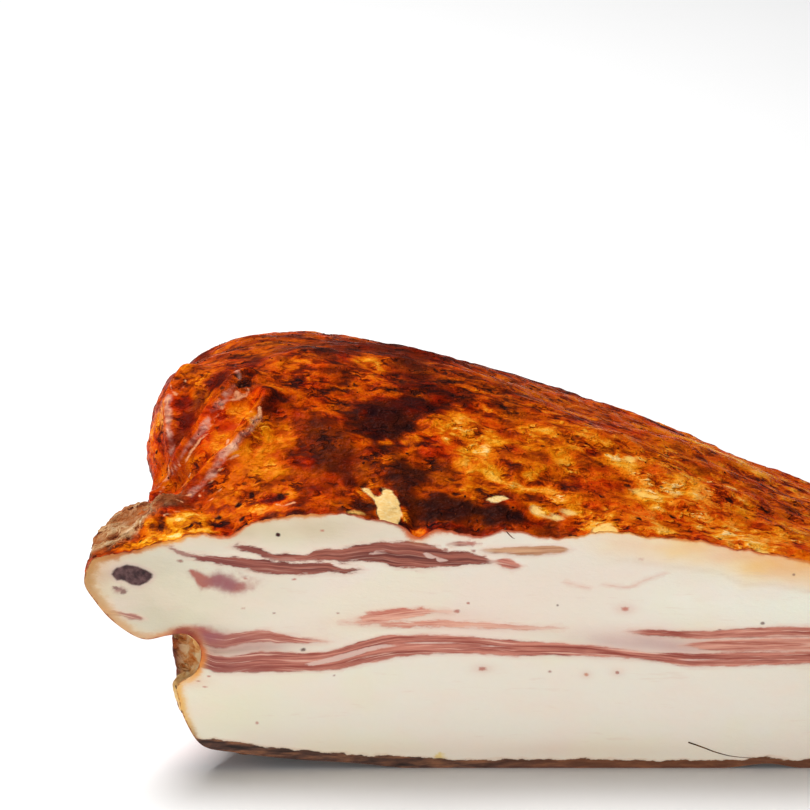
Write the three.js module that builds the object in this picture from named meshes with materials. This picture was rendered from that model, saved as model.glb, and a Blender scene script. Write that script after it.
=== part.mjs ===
import * as THREE from "three";

// A half of a cured pork jowl, cut across its middle, resting on its rind.
// +X runs along the cut face, +Y from the cut to the rounded back, +Z is up.
// All lengths are millimetres. The cut face is the plane y = -DEPTH / 2.

// Main sizes
const DEPTH = 110;
const LEFT_REACH = 91;
const RIGHT_REACH = 101;
const LOWER_LEFT_REACH = 82;
const BELLY_Z_LEFT = 48;
const BELLY_Z_RIGHT = 21;
const TIP_SHIFT = -14;

// Roundness of the body behind the cut: higher is squarer
const PLAN_POWER_LEFT = 3.2;
const PLAN_POWER_RIGHT = 2.3;
const SECTION_POWER = 4;
const BACK_POWER_TOP = 3.2;
const BACK_POWER_BASE = 5;

// How fast the shape of the cut passes into the rounded body
const LOBE_FADE = 25;
const NOTCH_FADE = 3.5;
const EDGE_FADE = 6;
const HUMP_RUN = 56;
const HUMP_DELAY = 22;
const BASE_SINK = 1.6;
const END_SHARE = 0.8;
const CUT_GUARD = 3;
const BASE_GUARD = 4;

// Where one shape passes into the next: from and to, along x or by height
const HUMP_LATE_X = [-90, -62];
const BELLY_X = [-80, 90];
const TUCK_Z = [33, 58];
const LOBE_X = [-88, -78];
const NOTCH_LEFT_X = [-90, -84];
const NOTCH_RIGHT_X = [-70, -78];
const NOTCH_Z = 27;
const NOTCH_HEIGHT = 9;
const NOTCH_SHARPNESS = 1.5;

// Fineness of the mesh
const RING_POINTS = 126;
const ROWS = 46;
const CURVE_SAMPLES = 2400;
const ROW_BIAS = 1.12;
const ROW_POWER = 0.83;
const BACK_ROWS = 4;
const NORMAL_REACH = 2;
const FACE_BAND = 6;
const FACE_BOW = 1.5;
const MIN_TURN = 1e-4;

// Relative distance between outline points at the base, on the right end, at
// the left and the right of the top, and elsewhere
const BASE_SPACING = 8;
const END_SPACING = 5.5;
const TOP_SPACING = [2.8, 4.2];
const SIDE_SPACING = 2.6;
const BASE_SPACING_Z = 3;
const END_SPACING_X = 60;
const TOP_SPACING_Z = 40;
const TOP_SPACING_X = [-70, 0];

// The cut outline [x, z], anticlockwise as seen from the front
const BASE_LINE = [
  [-75.3, 5.5],
  [-68, 3.8],
  [-55, 2.2],
  [-41, 1.2],
  [-30, 0],
  [-10, -0.8],
  [20, -0.8],
  [42, 0],
  [52, 1.1],
  [59, 0],
  [78, 0.6],
];
const RIGHT_END = [
  [90, 3.4],
  [98, 11],
  [101, 22],
  [99, 32],
  [93, 39.5],
  [84, 44],
];
const TOP_LINE = [
  [72, 47.6],
  [59.1, 50.3],
  [48, 52.3],
  [41, 53.6],
  [36, 55],
  [24, 55.8],
  [14, 57.3],
  [4, 55.7],
  [-8, 57.5],
  [-14, 56.1],
  [-22.8, 57.8],
  [-27.2, 56.1],
  [-31.6, 59.1],
  [-39.3, 60.5],
  [-46, 61.6],
  [-54.6, 60.8],
  [-64.5, 59.1],
  [-68.1, 56.4],
  [-75, 56.8],
  [-83, 54.7],
];
// The third value is the height on the left wall behind, where the shape of
// the cut has faded
const LOBE_AND_NOTCH = [
  [-90.8, 52.3, 64],
  [-98.6, 50.8, 58],
  [-100.9, 45.2, 51],
  [-98.5, 40.4, 46],
  [-94.5, 35.5, 41],
  [-88, 31.4, 36.5],
  [-82.5, 32.3, 33],
  [-78.5, 32.6, 30.5],
  [-75.4, 29.2, 27.5],
  [-76.6, 23.4, 23],
  [-80.6, 20.4, 19.5],
  [-80.4, 16.4, 15.8],
  [-78.9, 11.2, 11],
];
const CUT_OUTLINE = [
  ...BASE_LINE,
  ...RIGHT_END,
  ...TOP_LINE,
  ...LOBE_AND_NOTCH,
];

// Crown of the body: [x, height at the cut, rise of the hump behind it]
const CROWN = [
  [-120, 59, 25],
  [-61, 59.5, 25],
  [-31, 59, 20.5],
  [-8, 57, 17],
  [15, 56.8, 9.5],
  [39, 54, 4],
  [62, 50, -0.5],
  [90, 44.5, -2],
  [120, 38, -2],
];

// Lumps and hollows of the skin side: centre [x, y from the cut, z], radius and
// push [x, y, z]
const LUMPS = [
  { at: [-93, 16, 54], radius: 10, push: [-1.6, 0, 2.6] },
  { at: [-89, 31, 58], radius: 9, push: [6, 1, -2] },
  { at: [-80, 8, 21], radius: 7, push: [-1.2, 0, 0] },
];

// Pleats of the skin at the left shoulder: paths [x, y from the cut, z]. A
// negative lift is the valley beside a pleat.
const PLEATS = [
  {
    path: [
      [-65, 39, 79],
      [-75, 32, 70],
      [-81, 32, 61],
      [-87, 33, 54],
    ],
    lift: 2.6,
    width: 2.8,
  },
  {
    path: [
      [-61, 31, 77],
      [-67, 20, 69],
      [-75, 18, 62],
      [-82, 14, 57],
      [-86, 7, 54],
    ],
    lift: 2.4,
    width: 2.8,
  },
  {
    path: [
      [-80, 52, 77],
      [-84, 47, 71],
      [-83, 40, 68],
      [-83, 35, 60],
    ],
    lift: 1.8,
    width: 2.8,
  },
  {
    path: [
      [-66, 29, 75],
      [-72, 24, 69],
      [-78, 22, 63],
      [-84, 21, 56],
    ],
    lift: -2,
    width: 3.4,
  },
  {
    path: [
      [-74, 44, 79],
      [-80, 38, 70],
      [-83, 35, 62],
      [-87, 30, 57],
    ],
    lift: -1.4,
    width: 3,
  },
];

// Unevenness of the whole skin: [lift, waves per metre across, along, phase]
const WAVES = [
  [0.9, 14, 17, 0.6],
  [0.5, 31, 29, 2.1],
  [0.3, 11, 74, 4.4],
  [0.2, 57, 53, 1.3],
];

const clamp01 = (v) => Math.min(1, Math.max(0, v));
const smooth = (a, b, v) => {
  const t = clamp01((v - a) / (b - a));
  return t * t * (3 - 2 * t);
};
const within = ([a, b], v) => smooth(a, b, v);
const bump = (v) => Math.exp(-v * v);
const mix = (a, b, t) => a + (b - a) * t;

// Smooth curve through the stations of a table, by column
function along(table, x, column) {
  let i = 0;
  while (i < table.length - 2 && x > table[i + 1][0]) i++;
  const [a, b] = [table[i], table[i + 1]];
  const slope = (j) => {
    const p = table[Math.max(0, j - 1)];
    const q = table[Math.min(table.length - 1, j + 1)];
    return (q[column] - p[column]) / (q[0] - p[0]);
  };
  const w = b[0] - a[0];
  const t = clamp01((x - a[0]) / w);
  const s = t * t * (3 - 2 * t);
  const lift = t * (1 - t) * w;
  return (
    mix(a[column], b[column], s) +
    lift * ((1 - t) * slope(i) - t * slope(i + 1))
  );
}

// Height of the crown at x, d behind the cut. The hump starts later at the
// left, where the lobe runs back in front of it.
function crown(x, d) {
  const late = 1 - within(HUMP_LATE_X, x);
  const wait = HUMP_DELAY * late;
  const run = clamp01((d - wait) / (HUMP_RUN - wait));
  const climb = mix(Math.sin((run * Math.PI) / 2), smooth(0, 1, run), late);
  return along(CROWN, x, 1) + along(CROWN, x, 2) * climb;
}

// Height of the widest point of the section
const belly = (x) => mix(BELLY_Z_LEFT, BELLY_Z_RIGHT, within(BELLY_X, x));

// A point of the rounded body at a turn round the section
function bodyPoint(turn, d) {
  const t = Math.min(1, d / DEPTH);
  const right = Math.cos(turn) > 0;
  const plan = right ? PLAN_POWER_RIGHT : PLAN_POWER_LEFT;
  const reach = right ? RIGHT_REACH : LEFT_REACH;
  const wide = Math.pow(1 - Math.pow(t, plan), 1 / plan);
  const power = 2 / SECTION_POWER;
  const c = Math.pow(Math.abs(Math.cos(turn)), power);
  const s = Math.pow(Math.abs(Math.sin(turn)), power);
  let x = (right ? 1 : -1) * c * reach * wide;
  const mid = belly(x);
  const above = Math.sin(turn) > 0;
  const back = above ? BACK_POWER_TOP : BACK_POWER_BASE;
  const tall = Math.pow(1 - Math.pow(t, back), 1 / back);
  const z = above
    ? mid + (crown(x, d) - mid) * s * tall
    : mid - (mid + BASE_SINK) * s * tall;
  if (!right) {
    const tuck = 1 - LOWER_LEFT_REACH / LEFT_REACH;
    x *= 1 - tuck * (1 - within(TUCK_Z, z));
  }
  return [x + TIP_SHIFT * t * t * t, z];
}

// Turn round the section for each control point of the cut outline
function outlineTurns() {
  const turnOf = ([x, z, behind]) => {
    const mid = belly(x);
    if (behind !== undefined) {
      const tall = behind > mid ? crown(x, HUMP_RUN) - mid : mid + BASE_SINK;
      const share = Math.pow((behind - mid) / tall, SECTION_POWER / 2);
      return Math.PI + Math.asin(share) * Math.sign(mid - behind);
    }
    const reach = x > 0 ? RIGHT_REACH : LEFT_REACH;
    const up = z > mid ? crown(x, 0) - mid : mid + BASE_SINK;
    const a = Math.pow(Math.min(1, Math.abs(x) / reach), SECTION_POWER / 2);
    const b = Math.pow(Math.min(1, Math.abs(z - mid) / up), SECTION_POWER / 2);
    const flat = Math.sqrt(1 - a * a);
    const rise = Math.abs(x) < END_SHARE * reach ? flat : b;
    return Math.atan2(z > mid ? rise : -rise, x > 0 ? a : -a);
  };
  const turns = CUT_OUTLINE.map(turnOf);
  // One way round, from the lower left corner
  for (let i = 1; i < turns.length; i++) {
    while (turns[i] < turns[i - 1] - Math.PI) turns[i] += 2 * Math.PI;
    turns[i] = Math.max(turns[i], turns[i - 1] + MIN_TURN);
  }
  return turns;
}

// Outline points spaced by the detail they carry: [x, z, turn]
function spacedOutline() {
  const turns = outlineTurns();
  const points = CUT_OUTLINE.map((p) => new THREE.Vector3(p[0], p[1], 0));
  const curve = new THREE.CatmullRomCurve3(points, true, "centripetal");
  const turnAt = (u) => {
    const p = u * turns.length;
    const i = Math.floor(p) % turns.length;
    const next = i + 1 < turns.length ? turns[i + 1] : turns[0] + 2 * Math.PI;
    return mix(turns[i], next, p - Math.floor(p));
  };
  const fine = [];
  let total = 0;
  for (let i = 0; i <= CURVE_SAMPLES; i++) {
    const u = i / CURVE_SAMPLES;
    const p = curve.getPoint(u);
    if (i) {
      const q = fine[i - 1];
      total += Math.hypot(p.x - q.x, p.y - q.z) / spacing(p.x, p.y);
    }
    fine.push({ x: p.x, z: p.y, turn: turnAt(u), at: total });
  }
  const out = [];
  let j = 0;
  for (let k = 0; k < RING_POINTS; k++) {
    const want = (total * k) / RING_POINTS;
    while (fine[j + 1].at < want) j++;
    const t = (want - fine[j].at) / (fine[j + 1].at - fine[j].at);
    out.push([
      mix(fine[j].x, fine[j + 1].x, t),
      Math.max(0, mix(fine[j].z, fine[j + 1].z, t)),
      mix(fine[j].turn, fine[j + 1].turn, t),
    ]);
  }
  return out;
}

// Relative distance between outline points
function spacing(x, z) {
  if (z < BASE_SPACING_Z) return BASE_SPACING;
  if (x > END_SPACING_X) return END_SPACING;
  if (z > TOP_SPACING_Z) return mix(...TOP_SPACING, within(TOP_SPACING_X, x));
  return SIDE_SPACING;
}

// Distance over which the cut's own shape fades at an outline point
function fadeLength(x, z) {
  const lobe = 1 - within(LOBE_X, x);
  const notch =
    within(NOTCH_LEFT_X, x) *
    within(NOTCH_RIGHT_X, x) *
    bump((z - NOTCH_Z) / NOTCH_HEIGHT);
  const share = clamp01(NOTCH_SHARPNESS * notch);
  return mix(mix(EDGE_FADE, LOBE_FADE, lobe), NOTCH_FADE, share);
}

// Position of an outline point d behind the cut
function surfacePoint([x0, z0, turn], d) {
  const shape = 1 - bump(d / fadeLength(x0, z0));
  const height = along(CROWN, x0, 1);
  const part = clamp01(z0 / height);
  const lifted = z0 + (crown(x0, d) - height) * part;
  const [bx, bz] = bodyPoint(turn, d);
  const x = mix(x0, bx, shape);
  const z = Math.max(0, mix(lifted, bz, shape));
  return new THREE.Vector3(x, d - DEPTH / 2, z);
}

// Share of the relief a point takes: the cut and the base stay flat
const relief = (p) =>
  smooth(0, CUT_GUARD, p.y + DEPTH / 2) * smooth(0, BASE_GUARD, p.z);

// Moves a point by the lumps and hollows
function addLumps(p) {
  const share = relief(p);
  const move = new THREE.Vector3();
  for (const { at, radius, push } of LUMPS) {
    const away = p.distanceTo(onPart(at));
    move.addScaledVector(new THREE.Vector3(...push), bump(away / radius));
  }
  p.addScaledVector(move, share);
}

// A place [x, y from the cut, z] in the part's frame
const onPart = ([x, d, z]) => new THREE.Vector3(x, d - DEPTH / 2, z);

// Distance from a point to a path
function distanceToPath(p, path) {
  let best = Infinity;
  const near = new THREE.Vector3();
  for (let i = 0; i + 1 < path.length; i++) {
    const piece = new THREE.Line3(onPart(path[i]), onPart(path[i + 1]));
    piece.closestPointToPoint(p, true, near);
    best = Math.min(best, near.distanceTo(p));
  }
  return best;
}

// Height of the pleats and waves over the plain skin at a point
function skinLift(p) {
  let lift = 0;
  for (const pleat of PLEATS)
    lift += pleat.lift * bump(distanceToPath(p, pleat.path) / pleat.width);
  for (const [size, across, along, phase] of WAVES) {
    const u = (2 * Math.PI * across * (p.x + p.z)) / 1000 + phase;
    const v = (2 * Math.PI * along * (p.y + 0.3 * p.z)) / 1000 + 2 * phase;
    lift += size * Math.sin(u) * Math.sin(v);
  }
  return lift * relief(p);
}

// Outward directions of the rings of the skin, from their neighbours
function skinNormals(rings, apex) {
  const row = (r) => rings[r] ?? null;
  return rings.map((ring, r) =>
    ring.map((p, k) => {
      const n = ring.length;
      const next = ring[(k + NORMAL_REACH) % n];
      const before = ring[(k + n - NORMAL_REACH) % n];
      const far = row(r + NORMAL_REACH);
      const near = row(Math.max(0, r - NORMAL_REACH));
      const back = (far ? far[k] : apex).clone().sub(near[k]);
      return back.cross(next.clone().sub(before)).normalize();
    }),
  );
}

// Rings of the skin from the cut to the back, and the middle of the back
function skinRings() {
  const outline = spacedOutline();
  const rings = [];
  for (let r = 0; r < ROWS; r++) {
    const v = Math.pow(r / ROWS, ROW_BIAS);
    const d = DEPTH * Math.pow(Math.sin((v * Math.PI) / 2), ROW_POWER);
    rings.push(outline.map((p) => surfacePoint(p, d)));
    rings[r].forEach(addLumps);
  }
  const apex = rings[ROWS - 1]
    .reduce((sum, p) => sum.add(p), new THREE.Vector3())
    .divideScalar(RING_POINTS);
  apex.y = DEPTH / 2;
  const normals = skinNormals(rings, apex);
  rings.forEach((ring, r) => {
    const fade = smooth(ROWS, ROWS - BACK_ROWS, r);
    ring.forEach((p, k) => {
      p.addScaledVector(normals[r][k], skinLift(p) * fade);
      p.z = Math.max(0, p.z);
      p.y = Math.min(p.y, DEPTH / 2);
    });
  });
  return [rings, apex];
}

function jowlGeometry() {
  const [rings, apex] = skinRings();
  const positions = rings.flat().flatMap((p) => [p.x, p.y, p.z]);
  const index = [];
  const n = RING_POINTS;
  for (let r = 0; r + 1 < ROWS; r++)
    for (let k = 0; k < n; k++) {
      const a = r * n + k;
      const b = r * n + ((k + 1) % n);
      index.push(a, b + n, b, a, a + n, b + n);
    }
  // The flat cut face, with a band above its straight base
  const raised = rings[0].map((p, k) => {
    if (p.z > 0) return k;
    const bow = FACE_BOW * Math.cos((Math.PI * p.x) / LEFT_REACH / 2);
    positions.push(p.x, p.y, FACE_BAND - bow);
    return positions.length / 3 - 1;
  });
  for (let k = 0; k < n; k++) {
    const next = (k + 1) % n;
    if (raised[next] !== next) index.push(k, next, raised[next]);
    if (raised[k] !== k) index.push(k, raised[next], raised[k]);
  }
  const at = (i) =>
    new THREE.Vector2(positions[3 * i], positions[3 * i + 2]);
  const face = THREE.ShapeUtils.triangulateShape(raised.map(at), []);
  for (const corners of face) index.push(...corners.map((c) => raised[c]));
  // The rounded back closes on its middle
  const middle = positions.length / 3;
  const last = (ROWS - 1) * n;
  positions.push(apex.x, apex.y, apex.z);
  for (let k = 0; k < n; k++)
    index.push(last + ((k + 1) % n), last + k, middle);
  const geometry = new THREE.BufferGeometry();
  const attribute = new THREE.Float32BufferAttribute(positions, 3);
  geometry.setAttribute("position", attribute);
  geometry.setIndex(index);
  geometry.computeBoundingBox();
  const { min, max } = geometry.boundingBox;
  geometry.translate(-(min.x + max.x) / 2, 0, 0);
  geometry.computeVertexNormals();
  return geometry;
}

const meat = new THREE.MeshStandardMaterial({
  color: 0xe5d2bd,
  roughness: 0.55,
  metalness: 0,
});
const jowl = new THREE.Mesh(jowlGeometry(), meat);
jowl.name = "cured_pork_jowl";

const group = new THREE.Group();
group.name = "cured_pork_jowl_half";
group.add(jowl);

export default group;
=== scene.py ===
"""A half of a cured pork jowl, cut across its middle, resting on its rind.

+X runs along the cut face, +Y from the cut to the rounded back, +Z is up.
Shapes are worked out in millimetres and written to the meshes in metres.
Unless a table says otherwise, a place on the part is [x, y from the cut, z], a place on
the cut face is [x, z], and a colour is sRGB from 0 to 255.
"""

import math

import bpy
import numpy as np
from mathutils import Matrix, Vector, noise
from mathutils.geometry import delaunay_2d_cdt


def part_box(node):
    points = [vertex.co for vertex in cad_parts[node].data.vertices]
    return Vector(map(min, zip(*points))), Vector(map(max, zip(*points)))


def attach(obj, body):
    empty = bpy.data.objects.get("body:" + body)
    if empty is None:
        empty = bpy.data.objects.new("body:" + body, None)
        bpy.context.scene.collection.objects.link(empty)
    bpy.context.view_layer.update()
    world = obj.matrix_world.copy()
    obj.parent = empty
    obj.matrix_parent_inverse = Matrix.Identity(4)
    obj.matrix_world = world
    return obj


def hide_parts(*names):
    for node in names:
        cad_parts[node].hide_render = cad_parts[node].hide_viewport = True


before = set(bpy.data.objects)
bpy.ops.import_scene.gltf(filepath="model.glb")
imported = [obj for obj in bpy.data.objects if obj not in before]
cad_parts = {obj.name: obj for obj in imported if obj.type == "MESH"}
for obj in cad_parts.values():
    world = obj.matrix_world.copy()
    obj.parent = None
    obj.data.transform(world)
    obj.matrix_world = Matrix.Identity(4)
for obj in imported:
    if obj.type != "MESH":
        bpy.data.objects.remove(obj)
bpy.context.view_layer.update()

MM = 0.001

# Main sizes and the roundness of the body: a higher power is squarer
DEPTH = 110
LEFT_REACH = 91
RIGHT_REACH = 101
LOWER_LEFT_REACH = 82
BELLY_Z_LEFT = 48
BELLY_Z_RIGHT = 21
TIP_SHIFT = -14
PLAN_POWER_LEFT = 3.2
PLAN_POWER_RIGHT = 2.3
SECTION_POWER = 4
BACK_POWER_TOP = 3.2
BACK_POWER_BASE = 5

# How fast the shape of the cut passes into the rounded body
LOBE_FADE = 25
NOTCH_FADE = 3.5
EDGE_FADE = 6
HUMP_RUN = 56
HUMP_DELAY = 22
BASE_SINK = 1.6
END_SHARE = 0.8
CUT_GUARD = 3
BASE_GUARD = 4

# Where one shape passes into the next: from and to, along x or by height
HUMP_LATE_X = (-90, -62)
BELLY_X = (-80, 90)
TUCK_Z = (33, 58)
LOBE_X = (-88, -78)
NOTCH_LEFT_X = (-90, -84)
NOTCH_RIGHT_X = (-70, -78)
NOTCH_Z = 27
NOTCH_HEIGHT = 9
NOTCH_SHARPNESS = 1.5

# Fineness of the mesh
RING_POINTS = 528
ROWS = 144
SKIN_POINTS = ROWS * RING_POINTS + 1
CURVE_SAMPLES = 9000
ROW_BIAS = 1.42
ROW_POWER = 0.83
NORMAL_REACH = 7
MIN_TURN = 1e-4
MIN_LENGTH = 1e-9
FACE_GRID = 0.95
FACE_ROW = 0.866
FACE_MARGIN = 0.45
CDT_INSIDE = 1
CDT_MERGE = 1e-6
FACE_RECESS = 0.28
LEAN_RECESS = 0.16
SPOT_SIDES = 8
SPOT_MARGIN = 0.35
SPOT_REACH = 1.9

# Relative distance between outline points at the base, on the right end, at the left and
# the right of the top, and elsewhere
BASE_SPACING = 7
END_SPACING = 4.6
TOP_SPACING = (2.3, 3.4)
SIDE_SPACING = 2.4
BASE_SPACING_Z = 3
END_SPACING_X = 62
TOP_SPACING_Z = 40
TOP_SPACING_X = (-70, 0)

# The cut outline, anticlockwise as seen from the front
BASE_LINE = [
    (-75.3, 5.5), (-68, 3.8), (-55, 2.2), (-41, 1.2), (-30, 0), (-10, -0.8), (20, -0.8), (42, 0),
    (52, 1.1), (59, 0), (78, 0.6),
]
RIGHT_END = [
    (90, 3.4), (98, 11), (101, 22), (99, 32), (93, 39.5), (84, 44),
]
TOP_LINE = [
    (72, 47.6), (59.1, 50.3), (48, 52.3), (41, 53.6), (36, 55), (24, 55.8), (14, 57.3), (4, 55.7),
    (-8, 57.5), (-14, 56.1), (-22.8, 57.8), (-27.2, 56.1), (-31.6, 59.1), (-39.3, 60.5),
    (-46, 61.6), (-54.6, 60.8), (-64.5, 59.1), (-68.1, 56.4), (-75, 56.8), (-83, 54.7),
]
# The third value is the height on the left wall behind
LOBE_AND_NOTCH = [
    (-90.8, 52.3, 64), (-98.6, 50.8, 58), (-100.9, 45.2, 51), (-98.5, 40.4, 46), (-94.5, 35.5, 41),
    (-88, 31.4, 36.5), (-82.5, 32.3, 33), (-78.5, 32.6, 30.5), (-75.4, 29.2, 27.5),
    (-76.6, 23.4, 23), (-80.6, 20.4, 19.5), (-80.4, 16.4, 15.8), (-78.9, 11.2, 11),
]
CUT_OUTLINE = BASE_LINE + RIGHT_END + TOP_LINE + LOBE_AND_NOTCH
# The crust's edge is ragged above these heights: size, seed and lift of its noise
RAGGED_Z = (44, 50)
RAGGED_EDGE = [(2.6, 4.2, 0.5), (0.95, 9.1, 0.28)]
# Crown of the body: [x, height at the cut, rise of the hump behind it]
CROWN = np.array([
    (-120, 59, 25), (-61, 59.5, 25), (-31, 59, 20.5), (-8, 57, 17), (15, 56.8, 9.5), (39, 54, 4),
    (62, 50, -0.5), (90, 44.5, -2), (120, 38, -2),
], float)
# Lumps and hollows: centre, radius, push [x, y, z]
LUMPS = [
    ((-93, 16, 54), 10, (-1.6, 0, 2.6)), ((-89, 31, 58), 9, (6, 1, -2)),
    ((-80, 8, 21), 7, (-1.2, 0, 0)),
]
# Pleats of the left shoulder: path, lift, width
PLEATS = [
    ([(-65, 39, 79), (-75, 32, 70), (-81, 32, 61), (-87, 33, 54)], 2.6, 2.8),
    ([(-61, 31, 77), (-67, 20, 69), (-75, 18, 62), (-82, 14, 57), (-86, 7, 54)], 2.4, 2.8),
    ([(-80, 52, 77), (-84, 47, 71), (-83, 40, 68), (-83, 35, 60)], 1.8, 2.8),
    ([(-66, 29, 75), (-72, 24, 69), (-78, 22, 63), (-84, 21, 56)], -2, 3.4),
    ([(-74, 44, 79), (-80, 38, 70), (-83, 35, 62), (-87, 30, 57)], -1.4, 3),
]
# Unevenness of the skin: lift, waves per metre across, along, phase
WAVES = [
    (0.9, 14, 17, 0.6), (0.5, 31, 29, 2.1), (0.3, 11, 74, 4.4), (0.2, 57, 53, 1.3),
]


def smooth(a, b, v):
    """Smooth step from 0 to 1 as v goes from a to b."""
    t = np.clip((v - a) / (b - a), 0, 1)
    return t * t * (3 - 2 * t)


def bump(v):
    """Bell curve, 1 at 0."""
    return np.exp(-v * v)


def mix(a, b, t):
    """From a to b by a share."""
    return a + (b - a) * t


def behind_cut(p):
    """Distance of points behind the plane of the cut."""
    return p[..., 1] + DEPTH / 2


def on_part(at):
    """A place of the tables, with y measured from the middle of the part."""
    return np.array([at[0], at[1] - DEPTH / 2, at[2]], float)


def oval(x, y, cx, cy, rx, ry):
    """Distance from the middle of an oval, 1 at its edge."""
    return np.hypot((x - cx) / rx, (y - cy) / ry)


def along(table, x, column):
    """Smooth curve through the stations of a table, by column."""
    xs, ys = table[:, 0], table[:, column]
    last = len(xs) - 1
    i = np.searchsorted(xs[1:last], x, side="left")
    low = np.maximum(np.arange(last + 1) - 1, 0)
    high = np.minimum(np.arange(last + 1) + 1, last)
    slope = (ys[high] - ys[low]) / (xs[high] - xs[low])
    w = xs[i + 1] - xs[i]
    t = np.clip((x - xs[i]) / w, 0, 1)
    bend = t * (1 - t) * w * ((1 - t) * slope[i] - t * slope[i + 1])
    return mix(ys[i], ys[i + 1], smooth(0, 1, t)) + bend


def crown(x, d):
    """Height of the crown at x, d behind the cut."""
    late = 1 - smooth(*HUMP_LATE_X, x)
    wait = HUMP_DELAY * late
    run = np.clip((d - wait) / (HUMP_RUN - wait), 0, 1)
    climb = mix(np.sin(run * np.pi / 2), smooth(0, 1, run), late)
    return along(CROWN, x, 1) + along(CROWN, x, 2) * climb


def belly(x):
    """Height of the widest part of the section."""
    return mix(BELLY_Z_LEFT, BELLY_Z_RIGHT, smooth(*BELLY_X, x))


def body_point(turn, d):
    """A point of the rounded body at a turn round the section."""
    t = np.minimum(1, d / DEPTH)
    right = np.cos(turn) > 0
    plan = np.where(right, PLAN_POWER_RIGHT, PLAN_POWER_LEFT)
    reach = np.where(right, RIGHT_REACH, LEFT_REACH)
    wide = (1 - t ** plan) ** (1 / plan)
    c = np.abs(np.cos(turn)) ** (2 / SECTION_POWER)
    s = np.abs(np.sin(turn)) ** (2 / SECTION_POWER)
    x = np.where(right, 1, -1) * c * reach * wide
    mid = belly(x)
    above = np.sin(turn) > 0
    back = np.where(above, BACK_POWER_TOP, BACK_POWER_BASE)
    tall = (1 - t ** back) ** (1 / back)
    up = mid + (crown(x, d) - mid) * s * tall
    down = mid - (mid + BASE_SINK) * s * tall
    z = np.where(above, up, down)
    tuck = (1 - LOWER_LEFT_REACH / LEFT_REACH) * (1 - smooth(*TUCK_Z, z))
    x = np.where(right, x, x * (1 - tuck))
    return x + TIP_SHIFT * t ** 3, z


def outline_turns():
    """Turn round the section for each control point of the cut outline."""
    turns = []
    for point in CUT_OUTLINE:
        x, z = np.array([point[0]], float), point[1]
        mid = float(belly(x)[0])
        if len(point) == 3:
            behind = point[2]
            over = float(crown(x, HUMP_RUN)[0]) - mid
            tall = over if behind > mid else mid + BASE_SINK
            share = ((behind - mid) / tall) ** (SECTION_POWER // 2)
            turn = math.pi + math.asin(share) * math.copysign(1, mid - behind)
        else:
            reach = RIGHT_REACH if x[0] > 0 else LEFT_REACH
            over = float(crown(x, 0)[0]) - mid
            up = over if z > mid else mid + BASE_SINK
            a = min(1, abs(x[0]) / reach) ** (SECTION_POWER / 2)
            b = min(1, abs(z - mid) / up) ** (SECTION_POWER / 2)
            rise = math.sqrt(1 - a * a) if abs(x[0]) < END_SHARE * reach else b
            turn = math.atan2(rise if z > mid else -rise, a if x[0] > 0 else -a)
        if turns:
            while turn < turns[-1] - math.pi:
                turn += 2 * math.pi
            turn = max(turn, turns[-1] + MIN_TURN)
        turns.append(turn)
    return np.array(turns)


def spacing(x, z):
    """Relative distance between outline points."""
    out = np.where(z > TOP_SPACING_Z, mix(*TOP_SPACING, smooth(*TOP_SPACING_X, x)), SIDE_SPACING)
    out = np.where(x > END_SPACING_X, END_SPACING, out)
    return np.where(z < BASE_SPACING_Z, BASE_SPACING, out)


def spaced_outline():
    """Outline points by a centripetal curve: x, z and turn."""
    control = np.array([p[:2] for p in CUT_OUTLINE], float)
    turns = outline_turns()
    count = len(control)
    u = np.arange(CURVE_SAMPLES + 1) / CURVE_SAMPLES * count
    i = np.floor(u).astype(int) % count
    w = (u - np.floor(u))[:, None]
    p = [control[(i + k) % count] for k in (-1, 0, 1, 2)]
    gap = [((p[k + 1] - p[k]) ** 2).sum(1)[:, None] ** 0.25 for k in range(3)]
    t1, t2 = (
        ((p[k] - p[k - 1]) / gap[k - 1] - (p[k + 1] - p[k - 1]) / (gap[k - 1] + gap[k])
         + (p[k + 1] - p[k]) / gap[k]) * gap[1] for k in (1, 2))
    curve = (p[1] + t1 * w + (3 * (p[2] - p[1]) - 2 * t1 - t2) * w ** 2
             + (2 * (p[1] - p[2]) + t1 + t2) * w ** 3)
    after = np.append(turns[1:], turns[0] + 2 * math.pi)
    turn = mix(turns[i], after[i], w[:, 0])
    turn[-1] = turns[0] + 2 * math.pi
    step = np.hypot(*np.diff(curve, axis=0).T) / spacing(curve[1:, 0], curve[1:, 1])
    at = np.append(0, np.cumsum(step))
    want = at[-1] * np.arange(RING_POINTS) / RING_POINTS
    x, z, turn = (np.interp(want, at, v) for v in (curve[:, 0], curve[:, 1], turn))
    for k in range(RING_POINTS):
        rough = sum(lift * noise.noise((x[k] / size, seed, z[k] / size))
                    for size, seed, lift in RAGGED_EDGE)
        z[k] += float(smooth(*RAGGED_Z, z[k])) * rough
    return x, np.maximum(0, z), turn


def fade_length(x, z):
    """Distance over which the cut's own shape fades."""
    lobe = 1 - smooth(*LOBE_X, x)
    notch = (smooth(*NOTCH_LEFT_X, x) * bump((z - NOTCH_Z) / NOTCH_HEIGHT)
             * smooth(*NOTCH_RIGHT_X, x))
    return mix(mix(EDGE_FADE, LOBE_FADE, lobe), NOTCH_FADE,
               np.clip(NOTCH_SHARPNESS * notch, 0, 1))


def relief_share(p):
    """The cut and the base stay flat."""
    return smooth(0, CUT_GUARD, behind_cut(p)) * smooth(0, BASE_GUARD, p[..., 2])


def line_distance(p, line):
    """Distance from points to a line through several places."""
    best = np.full(p.shape[:-1], np.inf)
    for a, b in zip(line[:-1], line[1:]):
        t = np.clip((p - a) @ (b - a) / max((b - a) @ (b - a), MIN_LENGTH), 0, 1)
        best = np.minimum(best, np.linalg.norm(p - (a + t[..., None] * (b - a)), axis=-1))
    return best


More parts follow.
